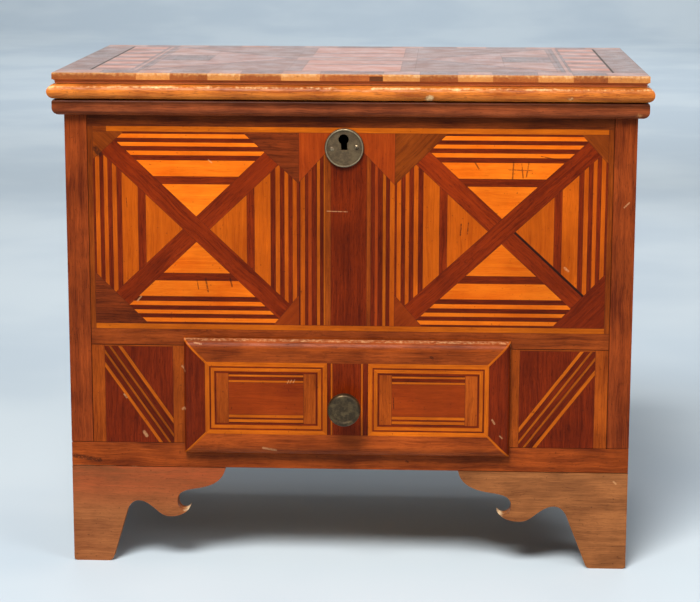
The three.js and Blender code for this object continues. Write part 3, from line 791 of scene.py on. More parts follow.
FACE_FRONT = Matrix.Rotation(math.pi / 2, 4, "X")
plate_brass = brass("lock plate brass", "#5c4b36", "#91795a", 0.6)
rim_brass = brass("rubbed rim brass", "#877860", "#c2ae88", 0.9)
low, high = corners("lock_plate")
bm = new_mesh()
rows = [bmesh.ops.create_circle(bm, segments=PLATE["corners"], radius=radius)["verts"]
        for radius in (high.x - PLATE["x"], PLATE["field"])]
outer, inner = ([edge for edge in bm.edges if all(v in ring for v in edge.verts)] for ring in rows)
half_slot, round_r = KEYHOLE["slot"] / 2, KEYHOLE["radius"]
meet = math.degrees(math.asin(half_slot / round_r))
outline = arc_points((0, KEYHOLE["rise"]), round_r, -90 + meet, 270 - meet, 28)
outline += [(-half_slot, -KEYHOLE["drop"]), (half_slot, -KEYHOLE["drop"])]
hole = [bm.verts.new((x, y, 0)) for x, y in outline]
hole_edges = [bm.edges.new(pair) for pair in zip(hole, hole[1:] + hole[:1])]
rim = bmesh.ops.bridge_loops(bm, edges=outer + inner)["faces"]
bmesh.ops.triangle_fill(bm, edges=inner + hole_edges, use_beauty=True)
bmesh.ops.recalc_face_normals(bm, faces=bm.faces)
if rim[0].normal.z < 0:
    bmesh.ops.reverse_faces(bm, faces=bm.faces)
bmesh.ops.translate(bm, vec=(0, 0, PLATE["thickness"]), verts=thicken(bm, list(bm.faces)))
rim = [face for face in bm.faces
       if abs(face.normal.z) > 0.9 and face.calc_center_median().z > PLATE["thickness"] / 2
       and face.calc_center_median().xy.length > PLATE["field"]]
crest, lifted = draw_out(bm, rim)
bmesh.ops.translate(bm, vec=(0, 0, high.y - low.y - PLATE["thickness"]), verts=lifted)
for vert in lifted:
    if vert.co.xy.length > PLATE["crest"]:
        vert.co.xy *= PLATE["crest"] / vert.co.xy.length
for face in crest:
    face.material_index = 1
bmesh.ops.recalc_face_normals(bm, faces=bm.faces)
turn = Matrix.Rotation(math.radians(PLATE["turn"]), 4, "Z")
stand = Matrix.Translation((PLATE["x"], high.y, PLATE["z"])) @ FACE_FRONT
bmesh.ops.transform(bm, matrix=stand @ turn, verts=bm.verts)
fit_piece("keyhole_plate", bm, [plate_brass, rim_brass], "case", ["lock_plate"],
          rounding=0.15, segments=3)


def turned_piece(name, profile, of_node, material, body, steps):
    """A turned part that points to the front. The profile gives radius and distance out."""
    low, high = corners(of_node)
    bm = new_mesh()
    line = [bm.verts.new((radius, 0, out)) for radius, out in profile]
    edges = [bm.edges.new(pair) for pair in zip(line, line[1:])]
    bmesh.ops.spin(bm, geom=line + edges, axis=(0, 0, 1), cent=(0, 0, 0), dvec=(0, 0, 0),
                   angle=2 * math.pi, steps=steps, use_merge=True)
    bmesh.ops.remove_doubles(bm, verts=bm.verts, dist=1e-3)
    bmesh.ops.recalc_face_normals(bm, faces=bm.faces)
    place = Matrix.Translation(((low.x + high.x) / 2, high.y, (low.z + high.z) / 2)) @ FACE_FRONT
    bmesh.ops.transform(bm, matrix=place, verts=bm.verts)
    fit_piece(name, bm, [material], body, [of_node], crease=50)


pin_brass = brass("pin brass", "#4a3a2c", "#b9a584", 0.6)
for side in ("left", "right"):
    low, high = corners(f"lock_plate_pin_{side}")
    radius, rise = (high.x - low.x) / 2, high.y - low.y
    dome = [(r, out * rise / radius) for r, out in arc_points((0, 0), radius, 0, 90, 8)[:-1]]
    turned_piece(f"plate_pin_{side}", [(0, 0), *dome, (0, rise)], f"lock_plate_pin_{side}",
                 pin_brass, "case", steps=32)

# Feet. Eight brackets of lighter mahogany, fretsawn to a scroll at the front and sides and to a
# plain sweep at the back, mitred at the corners and glued under the case.

foot_wood = timber("foot mahogany", "#9f5f34", "#784121", streaks=1.0, pores=0.6, clouds=1.3,
                   gloss=0.46, bare="#e6c79c", shine=0.14)
pale_foot_wood = timber("pale foot mahogany", "#a26335", "#764422", streaks=1.2, pores=0.6,
                        clouds=1.6, gloss=0.46, bare="#e6c79c", shine=0.14)
FOOT_THICKNESS, LEG, TOE = 9.0, 25.0, 2.0
FRONT_REACH, SIDE_REACH, BACK_REACH = {"left": 99.0, "right": 108.0}, 82.0, 46.0
MITRE_GAP = 0.3
# Bends of the scroll: start, two pulls and end, as shares of the bracket's reach and height
SCROLL = [((0.355, 0.54), (0.385, 0.665), (0.44, 0.66), (0.485, 0.62)),
          ((0.485, 0.62), (0.55, 0.56), (0.57, 0.48), (0.635, 0.48)),
          ((0.635, 0.48), (0.7, 0.48), (0.747, 0.52), (0.768, 0.59)),
          ((0.768, 0.59), (0.742, 0.52), (0.683, 0.545), (0.684, 0.648)),
          ((0.684, 0.648), (0.685, 0.735), (0.727, 0.758), (0.788, 0.774)),
          ((0.788, 0.774), (0.89, 0.798), (0.98, 0.837), (1, 1))]
HOOK_TIP, HOOK_REACH = (0.755, 0.565), 5.0
HOOK_CUTS = (-2.0, -1.0, -0.5, 0.5, 1.0, 2.0)


def curve(points, count):
    return [(p.x, p.y) for p in interpolate_bezier(*[Vector((*p, 0)) for p in points], count)]


REDDER = {"from": 28.0, "to": 58.0, "pale": "#9e4a24"}


def redden_upwards(material, low_z, high_z, red):
    """Lets a wood turn redder from one height to another."""
    tree = material.node_tree
    place = node(tree, "SeparateXYZ", {0: node(tree, "TexCoord").outputs["Object"]}).outputs["Z"]
    figure = next(part for part in tree.nodes if part.type == "GROUP" and "Pale" in part.inputs)
    pale = tuple(figure.inputs["Pale"].default_value)
    warmer = mix(tree, ramp(tree, place, low_z * MM, high_z * MM), pale, colour(red))
    tree.links.new(warmer, figure.inputs["Pale"])


redden_upwards(foot_wood, REDDER["from"], REDDER["to"], REDDER["pale"])


def foot_outline(reach, height, scrolled):
    """Points of a bracket: distance from the corner, and height."""
    points = [(0, height), (0, TOE), (TOE * 0.3, TOE * 0.3), (TOE, 0)]
    if scrolled:
        points += [(LEG - TOE, 0), (LEG - 0.4, TOE * 0.4), (LEG + 0.6, TOE)]
        for bend in SCROLL:
            points += curve([(x * reach, z * height) for x, z in bend], 12)
    else:
        points += [(LEG, 0)]
        sweep = [(LEG, 0), (LEG + 2, 0.56 * height), (LEG + 10, 0.76 * height), (reach, 0.8 * height)]
        points += curve(sweep, 16)[1:] + [(reach, height)]
    kept = [points[0]]
    for point in points[1:]:
        if math.dist(point, kept[-1]) > 0.12:
            kept.append(point)
    return kept


def fit_foot(name, of_node, wood, corner, along, outward, reach, scrolled=True, gap=0.0):
    """One bracket. It runs along from its corner, where its end is cut back for the mitre."""
    low, high = corners(of_node)
    along, outward = Vector(along), Vector(outward)
    bm = new_mesh()
    points = foot_outline(reach, high.z - low.z, scrolled)
    face = bm.faces.new([bm.verts.new(corner + along * x + Vector((0, 0, z))) for x, z in points])
    bmesh.ops.translate(bm, vec=outward * -FOOT_THICKNESS, verts=thicken(bm, [face]))
    for vert in bm.verts:
        depth = (corner - vert.co).dot(outward)
        run = (vert.co - corner).dot(along)
        vert.co += along * (max(run, depth + gap) - run)
    bmesh.ops.remove_doubles(bm, verts=bm.verts, dist=1e-3)
    bmesh.ops.recalc_face_normals(bm, faces=bm.faces)
    if scrolled:
        tip = corner + along * HOOK_TIP[0] * reach + Vector((0, 0, HOOK_TIP[1] * high.z))
        for way in (along, Vector(UPRIGHT)):
            for step in HOOK_CUTS:
                saw(bm, bm.faces, tip + way * HOOK_REACH * step, way)
        bmesh.ops.remove_doubles(bm, verts=bm.verts, dist=0.06)
        wear = bm.verts.layers.float["wear"]
        for vert in bm.verts:
            away = vert.co - tip
            vert[wear] = max(0.0, 1.1 - math.hypot(away.dot(along), away.z) / HOOK_REACH)
    run_grain(bm, bm.faces, along, 1.0)
    fit_piece(name, bm, [wood], "case", [of_node], rounding=0.4)


case_back = corners("back_board")[1].y
for word, side, wood in (("left", -1, foot_wood), ("right", 1, pale_foot_wood)):
    front_corner = Vector((side * CASE_HALF, CASE_FRONT, 0))
    back_corner = Vector((side * CASE_HALF, case_back, 0))
    inward, outward, to_back, to_front = (-side, 0, 0), (side, 0, 0), (0, 1, 0), (0, -1, 0)
    fit_foot(f"bracket_front_{word}", f"front_foot_{word}", wood, front_corner, inward, to_front,
             FRONT_REACH[word])
    fit_foot(f"bracket_front_{word}_side", f"front_foot_{word}_side", wood, front_corner, to_back,
             outward, SIDE_REACH, gap=MITRE_GAP)
    fit_foot(f"bracket_back_{word}_side", f"back_foot_{word}_side", wood, back_corner, to_front,
             outward, SIDE_REACH)
    fit_foot(f"bracket_back_{word}", f"back_foot_{word}", wood, back_corner, inward, to_back,
             BACK_REACH, scrolled=False, gap=MITRE_GAP)

# Hinges. Two cast brass butt hinges. One leaf of each is screwed in a pocket of the back board and
# the other under the lid, and a brass pin joins their knuckles behind the back.

hinge_brass = brass("hinge brass", "#5f4c2c", "#a98b56", 0.35)
for name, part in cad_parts.items():
    if name.startswith("hinge_"):
        part.data.materials.clear()
        part.data.materials.append(hinge_brass)

# Lid board. One wide board, veneered on top with a border, crossbanded ends, and a field with a
# long cross of bands. Its edge is stepped back over a cove, where the bead is planted.

FADED_TOWARDS, FADED_SHARE = colour("#544235"), 0.5
LID_SPECIES = []
for material in SPECIES.values():
    faded = material.copy()
    faded.name = f"faded {material.name}"
    faded.node_tree.nodes["Principled BSDF"].inputs["Specular IOR Level"].default_value = 0.5
    for part in faded.node_tree.nodes:
        for key in ("Pale", "Deep"):
            if key in part.inputs:
                kept = part.inputs[key].default_value
                part.inputs[key].default_value = [old + (new - old) * FADED_SHARE
                                                  for old, new in zip(kept, FADED_TOWARDS)]
    LID_SPECIES.append(faded)

LID = {"seat": 1.5, "overhang": 6.2, "above_bead": 0.3, "cove": 1.7, "cove_step": 0.9,
       "edge_round": 0.7}
low, high = corners("lid_board")
step_z = corners("lid_bead_front")[1].z + LID["above_bead"]
bm = plank(Vector((-CASE_HALF - LID["seat"], CASE_FRONT - LID["seat"], low.z)),
           Vector((CASE_HALF + LID["seat"], high.y, step_z)))
for side in ("left", "right"):
    let_in_leaf(bm, f"hinge_{side}_lid_leaf", -1)
bm.normal_update()
top_face = max(facing(bm, UPRIGHT), key=lambda face: face.calc_area())
out, edge_round = LID["overhang"], LID["edge_round"]
levels = [(out - LID["cove"], step_z)]
levels += arc_points((out, step_z + LID["cove_step"]), LID["cove"], 180, 90, 6)
levels += [(out, high.z - edge_round)]
levels += [(out - edge_round * (1 - math.cos(turn)), high.z - edge_round * (1 - math.sin(turn)))
           for turn in (0.5, 1.05, math.pi / 2)]
for out, z in levels:
    top_face = draw_out(bm, [top_face])[0][0]
    for vert in top_face.verts:
        if abs(vert.co.x) > CASE_HALF:
            vert.co.x = math.copysign(CASE_HALF + out, vert.co.x)
        vert.co.z = z
        if vert.co.y < 0:
            vert.co.y = CASE_FRONT - out
bmesh.ops.remove_doubles(bm, verts=bm.verts, dist=1e-4)
slivers = [face for face in bm.faces if face.calc_area() < 1e-6]
bmesh.ops.dissolve_edges(bm, edges=[max(face.edges, key=lambda edge: edge.calc_length())
                                    for face in slivers])
bmesh.ops.recalc_face_normals(bm, faces=bm.faces)
run_grain(bm, bm.faces, LENGTHWAYS, 0.85)
set_kind(bm.faces, "mahogany")

# Places on the lid, in millimetres: from its middle along it, and in from its front and back edge
LID_BLOCKS = (-155, -131.7, -110.8, -87.4, -67.1, -41.9, -18, 20.8, 43.5, 66.8, 88.3, 116, 137.5, 158.4)
NEAR_BORDER, FAR_BORDER, DARK_LINE = 22.0, 14.0, 1.6
LID_END, LID_LINE, LADDER, LADDER_RUNG, CROSS_END = 164, 162.6, 138, 15.5, 129
HUB_HALF, CROSS_WIDTH, CROSS_STRING = 40.0, 9.0, 1.4
WEDGE, DIAMOND_HALF, DIAMOND_END, BAR_HALF = 97, 22, 121, 31


def lid_blocks(bm, faces, cuts, axis, kinds, along):
    """Saws faces crossways into blocks of two woods by turns."""
    rest, pieces = faces, []
    for place in cuts:
        done, rest = saw(bm, rest, Vector(axis) * place, axis)
        pieces.append(done)
    for i, piece in enumerate(pieces + [rest]):
        kind, tone = kinds[i % len(kinds)]
        lay(bm, piece, kind, along, tone)


def lid_inlay(bm, faces, front, back):
    """Lays the top: a border of blocks, a ladder at each end, and a long cross in the field."""
    z = faces[0].calc_center_median().z
    near_edge, far_edge = front + NEAR_BORDER, back - FAR_BORDER
    near, rest = saw(bm, faces, (0, near_edge, z), FRONT_TO_BACK)
    rest, far = saw(bm, rest, (0, far_edge, z), FRONT_TO_BACK)
    for border in (near, far):
        lid_blocks(bm, border, LID_BLOCKS, LENGTHWAYS, (("string", 1.0), ("band", 1.05)), FRONT_TO_BACK)
    rungs = [near_edge + LADDER_RUNG * i
             for i in range(1, int((far_edge - near_edge) / LADDER_RUNG) + 1)]
    for side in (-1, 1):
        way = (side, 0, 0)
        rest = saw_off(bm, rest, (side * LID_END, 0, z), way, "amber", FRONT_TO_BACK, 0.78)
        rest = saw_off(bm, rest, (side * LID_LINE, 0, z), way, "gap", FRONT_TO_BACK)
        rest, ladder = saw(bm, rest, (side * LADDER, 0, z), way)
        lid_blocks(bm, ladder, rungs, FRONT_TO_BACK, (("amber", 1.1), ("satinwood", 0.8)), LENGTHWAYS)
        rest, strip = saw(bm, rest, (side * CROSS_END, 0, z), way)
        lay_strips(bm, strip, (side * LADDER, 0, z), (-side, 0, 0), (1.5, 2.5, 2.5),
                   ("dark", "string", "dark", "amber"), FRONT_TO_BACK)
    middle = Vector((0, (near_edge + far_edge) / 2, z))
    depth = (far_edge - near_edge) / 2 - DARK_LINE
    for side in (-1, 1):
        rest = saw_off(bm, rest, middle + Vector((0, side * depth, 0)), (0, side, 0), "dark")
    corners_left = []
    for side in (-1, 1):
        way = (side, 0, 0)
        root = middle + Vector((side * HUB_HALF, 0, 0))
        rest, wing = saw(bm, rest, root, way)
        for end in (-1, 1):
            slope = Vector((side * (CROSS_END - HUB_HALF), end * depth, 0))
            square = Vector((-slope.y, slope.x, 0)).normalized() * end * side
            ray_edge = root + square * CROSS_WIDTH / 2
            wing, corner = saw(bm, wing, ray_edge, square)
            wing, ray = saw(bm, wing, root - square * CROSS_WIDTH / 2, square)
            lay_strips(bm, ray, ray_edge, -square, (CROSS_STRING, CROSS_WIDTH - 2 * CROSS_STRING),
                       ("string", "band", "string"), slope)
            corners_left.append(corner)
        wedge, rim = saw(bm, wing, middle + Vector((side * WEDGE, 0, 0)), way)
        lay(bm, wedge, "satinwood_upright", FRONT_TO_BACK, 0.95)
        for end in (-1, 1):
            rim = saw_off(bm, rim, middle + Vector((0, end * DIAMOND_HALF, 0)), (0, end, 0), "string",
                          LENGTHWAYS, 0.95)
        rim = saw_off(bm, rim, middle + Vector((side * DIAMOND_END, 0, 0)), way, "band", FRONT_TO_BACK)
        lay(bm, rim, "plum", FRONT_TO_BACK, 0.9)
    for corner in corners_left:
        lay(bm, corner, "amber", LENGTHWAYS, 1.0)
    for side in (-1, 1):
        start = middle + Vector((0, side * CROSS_WIDTH, 0))
        rest, bright = saw(bm, rest, start, (0, side, 0))
        for end in (-1, 1):
            bright = saw_off(bm, bright, middle + Vector((end * BAR_HALF, 0, 0)), (end, 0, 0), "amber",
                             LENGTHWAYS, 1.02)
        lay_strips(bm, bright, start, (0, side, 0), (4, 30, 4),
                   ("band", "satinwood", "band", "satinwood"), LENGTHWAYS, 0.7)
    lay(bm, rest, "string", LENGTHWAYS, 1.1)


top_faces = [face for face in facing(bm, UPRIGHT) if face.calc_center_median().z > high.z - 0.01]
lid_inlay(bm, top_faces, CASE_FRONT - LID["overhang"], high.y)
bm.normal_update()
# The bare colours of the edge woods show where the top arris is worn, a worn line that is also a painted
# highlight.
EDGE_WOODS = (timber("pale edge", "#d28945", "#b56c32", streaks=0.9, bare="#f2c894", shine=0.2),
              timber("brown edge", "#95501f", "#74371a", streaks=0.9, bare="#e0a868", shine=0.2),
              timber("lid front", "#b05a2c", "#8a4420", streaks=1.0, shine=0.15))
PALE_EDGE, BROWN_EDGE, LID_FRONT = (len(KINDS) + i for i in range(len(EDGE_WOODS)))
EDGE_TALL = 4.3
KNOT = {"left": 12.5, "right": 20.8, "drop": 1.3}
for face in bm.faces:
    if face.normal.y < -0.3 or abs(face.normal.x) > 0.3:
        face.material_index = LID_FRONT
        face[bm.faces.layers.float["tone"]] = 1.35
rest = [face for face in bm.faces if face.normal.y < -0.3
        and high.z - EDGE_TALL < face.calc_center_median().z < high.z - 0.01]
for i, place in enumerate((*LID_BLOCKS, high.x)):
    block, rest = saw(bm, rest, (place, 0, 0), LENGTHWAYS)
    wood, tone = (BROWN_EDGE, 1.3) if i % 2 or i == 0 else (PALE_EDGE, 0.98)
    for face in block:
        face.material_index = wood
    run_grain(bm, block, FRONT_TO_BACK, tone)
    if place == KNOT["right"]:
        sound, knot = saw(bm, block, (KNOT["left"], 0, 0), LENGTHWAYS)
        run_grain(bm, sound, FRONT_TO_BACK, 1.6)
        knot, _ = saw(bm, knot, (0, 0, high.z - KNOT["drop"]), UPRIGHT)
        run_grain(bm, knot, FRONT_TO_BACK, 0.45)


def rub_and_highlight_top_edge(bm, above, before, amount):
    """Wears the vertices above one height and in front of one depth; this worn line is also a painted
    highlight.
    """
    wear = bm.verts.layers.float["wear"]
    for vert in bm.verts:
        if vert.co.z > above and vert.co.y < before:
            vert[wear] = amount


# The lid's top front arris is worn pale, and this pale line is also a painted highlight along it.
rub_and_highlight_top_edge(bm, high.z - LID["edge_round"] - 0.1, CASE_FRONT - 5, 0.62)
fit_piece("crossbanded_lid", bm, [*LID_SPECIES, *EDGE_WOODS], "lid", ["lid_board"])

# Lid bead. Half-round mahogany moulding in the step of the lid's edge, mitred at the front corners.
# Its top is rubbed pale, a worn strip that is also a painted highlight; its lower half is painted
# lighter against its own shade; and small pieces have broken from its lower edge.

# Its pale bare colour shows on the rubbed crest, worn wood that also stands as a painted highlight.
bead_mahogany = timber("bead mahogany", "#d27629", "#944615", streaks=1.4, pores=1.0, clouds=1.3,
                       gloss=0.36, bare="#f8cb90", relief=0.9, shine=0.15)
low, high = corners("lid_bead_front")
bead_half = (high.z - low.z) / 2
bead_out = high.x - CASE_HALF
BEAD_ROOT = 1.8
profile = [(BEAD_ROOT, low.z)]
profile += arc_points((bead_out - bead_half, low.z + bead_half), bead_half, -90, 90, 20)
profile += [(BEAD_ROOT, high.z)]
front_y = CASE_FRONT - bead_out
BEAD_CHIPS = (((49.6, front_y + 1.2, low.z + 1.6), 3.4, 1.0, 1.0),
              ((-1, front_y + 1.5, high.z - 1.6), 5.0, 0.45, 0),
              ((9, front_y + 1.4, high.z - 1.8), 4.0, 0.4, 0),
              ((136, front_y + 1, low.z + 2.2), 2.2, 0.5, 0.7),
              ((-184, front_y + 2, high.z - 2), 2.6, 0.6, 0.8),
              ((66, front_y + 1.4, high.z - 1.7), 2.2, 0.5, 0.8))
# The rubbed crest: worn wood, and also a painted highlight along the bead's top.
BEAD_RUB_AND_HIGHLIGHT = {"depth": 0.22, "below_top": 1.4, "spread": 1.7}
# Painted light: the bead's tone is 1.25 at its foot and falls by 0.3 to its top, so it is lighter below,
# against the shade of its underside.
BEAD_PAINTED_LIGHT_BELOW = (1.25, -0.3)


def rub_and_highlight_bead(bm, crest):
    """Rubs the bead along its crest, by an uneven depth. The pale rubbed strip is worn wood and also a
    painted highlight.
    """
    wear = bm.verts.layers.float["wear"]
    for vert in bm.verts:
        share = 1 - abs(vert.co.z - crest) / BEAD_RUB_AND_HIGHLIGHT["spread"]
        if share > 0:
            rough = noise.noise(vert.co * 0.07) * 0.6 + noise.noise(vert.co * 0.45) * 0.4
            vert[wear] = min(1.0, share * (0.7 + 0.6 * rough))
            vert.co -= vert.normal * BEAD_RUB_AND_HIGHLIGHT["depth"] * share * max(0.0, 0.35 + rough)


for way in ("front", "left", "right"):
    bm = moulding_run(profile, way, corners(f"lid_bead_{way}")[1].y)
    tone = bm.faces.layers.float["tone"]
    # Painted light: lighter towards the bead's underside.
    for face in bm.faces:
        risen = (face.calc_center_median().z - low.z) / (high.z - low.z)
        face[tone] *= BEAD_PAINTED_LIGHT_BELOW[0] + BEAD_PAINTED_LIGHT_BELOW[1] * risen
    rub_and_highlight_bead(bm, high.z - BEAD_RUB_AND_HIGHLIGHT["below_top"])
    chip_away(bm, BEAD_CHIPS)
    fit_piece(f"bead_{way}", bm, [bead_mahogany], "lid", [f"lid_bead_{way}"], crease=40)

# Drawer front. Thick mahogany board whose lip covers the edge of the opening. Four mitred sides
# roll over to a flat field, where nested satinwood lines frame two red panels.

DRAWER = {"lip_edge": 1.8, "lip_gap": 0.4, "inset": 5.6, "roll": 7.0, "roll_steps": 12,
          "string": 1.3}
FIELD_LOW, FIELD_HIGH = Vector((-90.7, 0, 88.1)), Vector((88.6, 0, 134.8))
PANELS = {"left_end": -13.4, "right_start": 12.6, "end_bar": 7.8}
low, high = corners("drawer_front")
inset, lip_back = DRAWER["inset"], CASE_FRONT - DRAWER["lip_gap"]
bm = plank(Vector((low.x + inset, lip_back, low.z + inset)),
           Vector((high.x - inset, high.y, high.z - inset)))
bm.normal_update()
front = facing(bm, (0, -1, 0))[0]
middle = (low + high) / 2
lip_front = lip_back - DRAWER["lip_edge"]
levels = [(0.0, lip_back), (0.0, lip_front)]
for i in range(1, DRAWER["roll_steps"] + 1):
    turn = math.pi / 2 * i / DRAWER["roll_steps"]
    levels.append((DRAWER["roll"] * (1 - math.cos(turn)),
                   lip_front - (lip_front - low.y) * math.sin(turn)))


def place_corners(face, low_corner, high_corner, inwards=0.0):
    """Moves a face's four corners to a rectangle of the front, inwards by a distance."""
    for vert in face.verts:
        vert.co.x = low_corner.x + inwards if vert.co.x < middle.x else high_corner.x - inwards
        vert.co.z = low_corner.z + inwards if vert.co.z < middle.z else high_corner.z - inwards


for inwards, y in levels:
    front = draw_out(bm, [front])[0][0]
    place_corners(front, low, high, inwards)
    for vert in front.verts:
        vert.co.y = y
front = draw_out(bm, [front])[0][0]
place_corners(front, FIELD_LOW, FIELD_HIGH)

FRAME_LINES = ((2.7, "string", 1.1), (1.0, "band", 1.0), (2.2, "string", 1.02), (1.2, "dark", 1.0))
LEVEL_LINES = (0.6, 2.0, 1.0, 2.0, 21.0, 1.5, 2.2, 1.4)


def span(face, axis):
    """How far a face reaches along an axis, 0 to 2."""
    places = [vert.co[axis] for vert in face.verts]
    return max(places) - min(places)


def nested_lines(bm, faces, lines):
    """Insets line after line of veneer round the faces."""
    for width, kind, tone in lines:
        ring = inset_ring(bm, faces, width)
        set_kind(ring, kind)
        for face in ring:
            flat = span(face, 0) > span(face, 2)
            # Upright lines are painted 0.85 darker, a painted dimmer sheen of upright grain under light from
            # above.
            run_grain(bm, [face], LENGTHWAYS if flat else UPRIGHT, tone if flat else tone * 0.85)


def drawer_inlay(bm, faces):
    """Lays the field: two framed red panels, and the upright strips between them."""
    y = faces[0].calc_center_median().y
    left, rest = saw(bm, faces, (PANELS["left_end"], y, 0), LENGTHWAYS)
    hub, right = saw(bm, rest, (PANELS["right_start"], y, 0), LENGTHWAYS)
    lay_strips(bm, hub, (PANELS["left_end"], y, 0), LENGTHWAYS, (2.3, 1.2, 18.0, 1.2),
               ("dark", "string", "band", "string", "dark"), UPRIGHT, 0.9)
    for panel in (left, right):
        nested_lines(bm, panel, FRAME_LINES)
        centre, reach = panel[0].calc_center_median(), span(panel[0], 0) / 2 - PANELS["end_bar"]
        for side in (-1, 1):
            panel = saw_off(bm, panel, centre + Vector((side * reach, 0, 0)), (side, 0, 0), "amber",
                            UPRIGHT, 1.12)
        foot = min(vert.co.z for vert in panel[0].verts)
        lay_strips(bm, panel, (0, y, foot), UPRIGHT, LEVEL_LINES,
                   ("dark", "string", "band", "string", "red", "string", "band", "string", "dark"),
                   LENGTHWAYS, (0.8, 0.95) * 4 + (0.8,))


bmesh.ops.recalc_face_normals(bm, faces=bm.faces)
run_grain(bm, bm.faces, LENGTHWAYS, 0.8)
shape = [face for face in bm.faces
         if face is not front and face.calc_center_median().y < lip_back + 0.01]
set_kind(bm.faces, "dark")
drawer_inlay(bm, [front])


def corner_of(low, high, x_side, z_side):
    """A corner of a rectangle on the front, on its low (-1) or high (1) sides."""
    return Vector((high.x if x_side > 0 else low.x, 0, high.z if z_side > 0 else low.z))


# The top bevel is set darker (0.93) and the bottom one lighter (1.17): painted light and shade, offsetting
# how the lamp above lights them.
SIDE_WOODS = (((0, 0, 1), "rail", 0.93), ((0, 0, -1), "rail", 1.17), ((-1, 0, 0), "dark", 0.98),
              ((1, 0, 0), "dark", 0.98))
flat_faces = [face for face in shape if span(face, 0) > span(face, 2)]
tall_faces = [face for face in shape if face not in flat_faces]
for outward, kind, tone in SIDE_WOODS:
    outward = Vector(outward)
    faces = [face for face in (flat_faces if outward.z else tall_faces)
             if (face.calc_center_median() - middle).dot(outward) > 0]
    for x_side, z_side in ((-1, -1), (-1, 1), (1, -1), (1, 1)):
        if x_side * outward.x + z_side * outward.z < 0:
            continue
        corner = corner_of(low, high, x_side, z_side)
        mitre = corner_of(FIELD_LOW, FIELD_HIGH, x_side, z_side) - corner
        square = Vector((-mitre.z, 0, mitre.x)).normalized()
        square *= -math.copysign(1, square.dot(outward))
        faces, edge = saw(bm, faces, corner - square * DRAWER["string"] / 2, square)
        set_kind(edge, "string")
        run_grain(bm, edge, mitre, 0.95)
    set_kind(faces, kind)
    run_grain(bm, faces, LENGTHWAYS if outward.z else UPRIGHT, tone)
# The drawer's top edge is worn pale, and this pale line is also a painted highlight along it.
rub_and_highlight_top_edge(bm, high.z - 1.2, lip_back - 1, 0.57)
fit_piece("lipped_drawer_front", bm, SPECIES.values(), "drawer", ["drawer_front"])

# Drawer box. Two sides and a back of thin pine, with a thin bottom board between them. The front
# ends of the sides are nailed into the drawer front.

for side in ("left", "right"):
    fit_board(f"drawer_{side}_side", f"drawer_side_{side}", pine, "drawer",
              FRONT_TO_BACK, 1.05)
fit_board("drawer_rear", "drawer_back", pine, "drawer", LENGTHWAYS, 1.0)
fit_board("drawer_floor", "drawer_bottom", pine, "drawer", LENGTHWAYS, 0.95)

# Knob. Turned brass with a flat face and a thin rolled rim, on a waisted neck. Its screw goes
# through the drawer front. Handling and polish have left it dark olive.

knob_brass = brass("knob brass", "#3c3020", "#86704e", 0.4)
low, high = corners("knob")
head, out = (high.x - low.x) / 2, high.y - low.y
NECK = ((0, 0), (5.4, 0), (5.4, 0.9), (4.9, 1.6), (4.0, 3.0), (3.6, 4.6), (3.6, 6.4), (4.1, 8.2),
        (5.4, 9.8), (7.4, 11.0))
KNOB_PROFILE = [*NECK, (head - 1.1, 11.9), (head - 0.35, 12.7), (head, 14.0), (head - 0.1, 15.2)]
KNOB_PROFILE += arc_points((head - 1.9, out - 1.7), 1.7, 15, 90, 6)
KNOB_PROFILE += [(head - 2.6, out - 0.12), (head - 3.1, out - 0.5), (head - 4.2, out - 0.62),
                 (4.0, out - 0.4), (0, out - 0.3)]
turned_piece("drawer_knob", KNOB_PROFILE, "knob", knob_brass, "drawer", steps=72)

# Where it stands. A plain pale sweep of floor and backdrop, a broad soft lamp above and in front,
# a weaker one on the right, a card behind for the top edge, a lamp for the backdrop, and a camera
# at the photograph's angle.

FLOOR_FRONT, FLOOR_BACK, FLOOR_HALF, WALL_HEIGHT, BEND = -6.0, 6.0, 6.0, 3.0, 1.5
sweep = bmesh.new()
side_line = [(FLOOR_FRONT, 0.0), (FLOOR_BACK - BEND, 0.0)]
side_line += arc_points((FLOOR_BACK - BEND, BEND), BEND, -90, 0, 16) + [(FLOOR_BACK, WALL_HEIGHT)]
edge_verts = [sweep.verts.new((-FLOOR_HALF, y, z)) for y, z in side_line]
edge_line = [sweep.edges.new(pair) for pair in zip(edge_verts, edge_verts[1:])]
pulled = bmesh.ops.extrude_edge_only(sweep, edges=edge_line)["geom"]
bmesh.ops.translate(sweep, vec=(2 * FLOOR_HALF, 0, 0), verts=verts_of(pulled))
bmesh.ops.remove_doubles(sweep, verts=sweep.verts, dist=1e-5)
bmesh.ops.recalc_face_normals(sweep, faces=sweep.faces)
floor_mesh = bpy.data.meshes.new("pale floor")
for face in sweep.faces:
    face.smooth = True
sweep.to_mesh(floor_mesh)
sweep.free()
floor = bpy.data.objects.new("pale_floor", floor_mesh)
scene.collection.objects.link(floor)
paper, paper_tree, paper_shader = new_material("pale floor")
cloud = cloudy(paper_tree, node(paper_tree, "TexCoord").outputs["Object"], 3.0, 3.0)
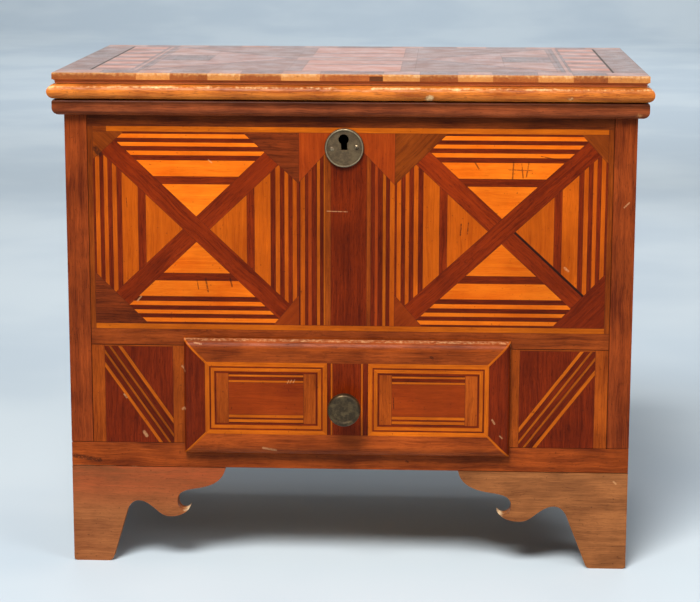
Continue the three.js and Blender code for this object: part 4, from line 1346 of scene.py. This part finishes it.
tint = mix(paper_tree, ramp(paper_tree, cloud, 0.35, 0.65), colour("#b9c8d4"), colour("#c6d3dc"))
feed(paper_tree, paper_shader, {"Base Color": tint})
paper_shader.inputs["Roughness"].default_value = 0.9
floor_mesh.materials.append(paper)

world = bpy.data.worlds.new("soft surround")
scene.world = world
world.use_nodes = True
surround = world.node_tree.nodes["Background"].inputs
surround["Color"].default_value = (0.93, 0.96, 1.0, 1.0)
surround["Strength"].default_value = 0.14


def lamp(name, place, target, size, watts, tint):
    """A round soft lamp that looks at a target and isn't seen itself."""
    light = bpy.data.lights.new(name, "AREA")
    light.shape, light.size, light.energy, light.color = "DISK", size, watts, tint
    holder = bpy.data.objects.new(name, light)
    holder.visible_camera = False
    scene.collection.objects.link(holder)
    holder.location = place
    holder.rotation_euler = (Vector(target) - Vector(place)).to_track_quat("-Z", "Y").to_euler()


lamp("main lamp", (-0.35, -1.45, 2.0), (0, 0, 0.15), 1.0, 77, (1.0, 0.97, 0.93))
lamp("side lamp", (1.5, -1.3, 1.4), (0, 0, 0.15), 1.0, 13, (1.0, 0.98, 0.96))
lamp("back card", (0, 1.15, 0.95), (0, 0, 0.3), 1.5, 4.5, (1.0, 0.97, 0.96))
lamp("floor lamp", (0, 3.0, 2.8), (0, 5.0, 0.0), 2.4, 85, (1.0, 1.0, 1.0))

CAMERA_PLACE, CAMERA_ANGLES = (0.0584, -1.3969, 0.4304), (2.55, 11.2, 0.15)
camera_data = bpy.data.cameras.new("camera")
camera_data.lens, camera_data.sensor_width = 108, 36
camera = bpy.data.objects.new("camera", camera_data)
scene.collection.objects.link(camera)
yaw, pitch, roll = (math.radians(angle) for angle in CAMERA_ANGLES)
behind = Vector((math.sin(yaw) * math.cos(pitch), -math.cos(yaw) * math.cos(pitch), math.sin(pitch)))
right = Vector((math.cos(yaw), math.sin(yaw), 0))
turn = Matrix((right, behind.cross(right), behind)).transposed().to_4x4()
camera.matrix_world = Matrix.Translation(CAMERA_PLACE) @ turn @ Matrix.Rotation(roll, 4, "Z")
scene.camera = camera
scene.view_settings.view_transform = "Standard"
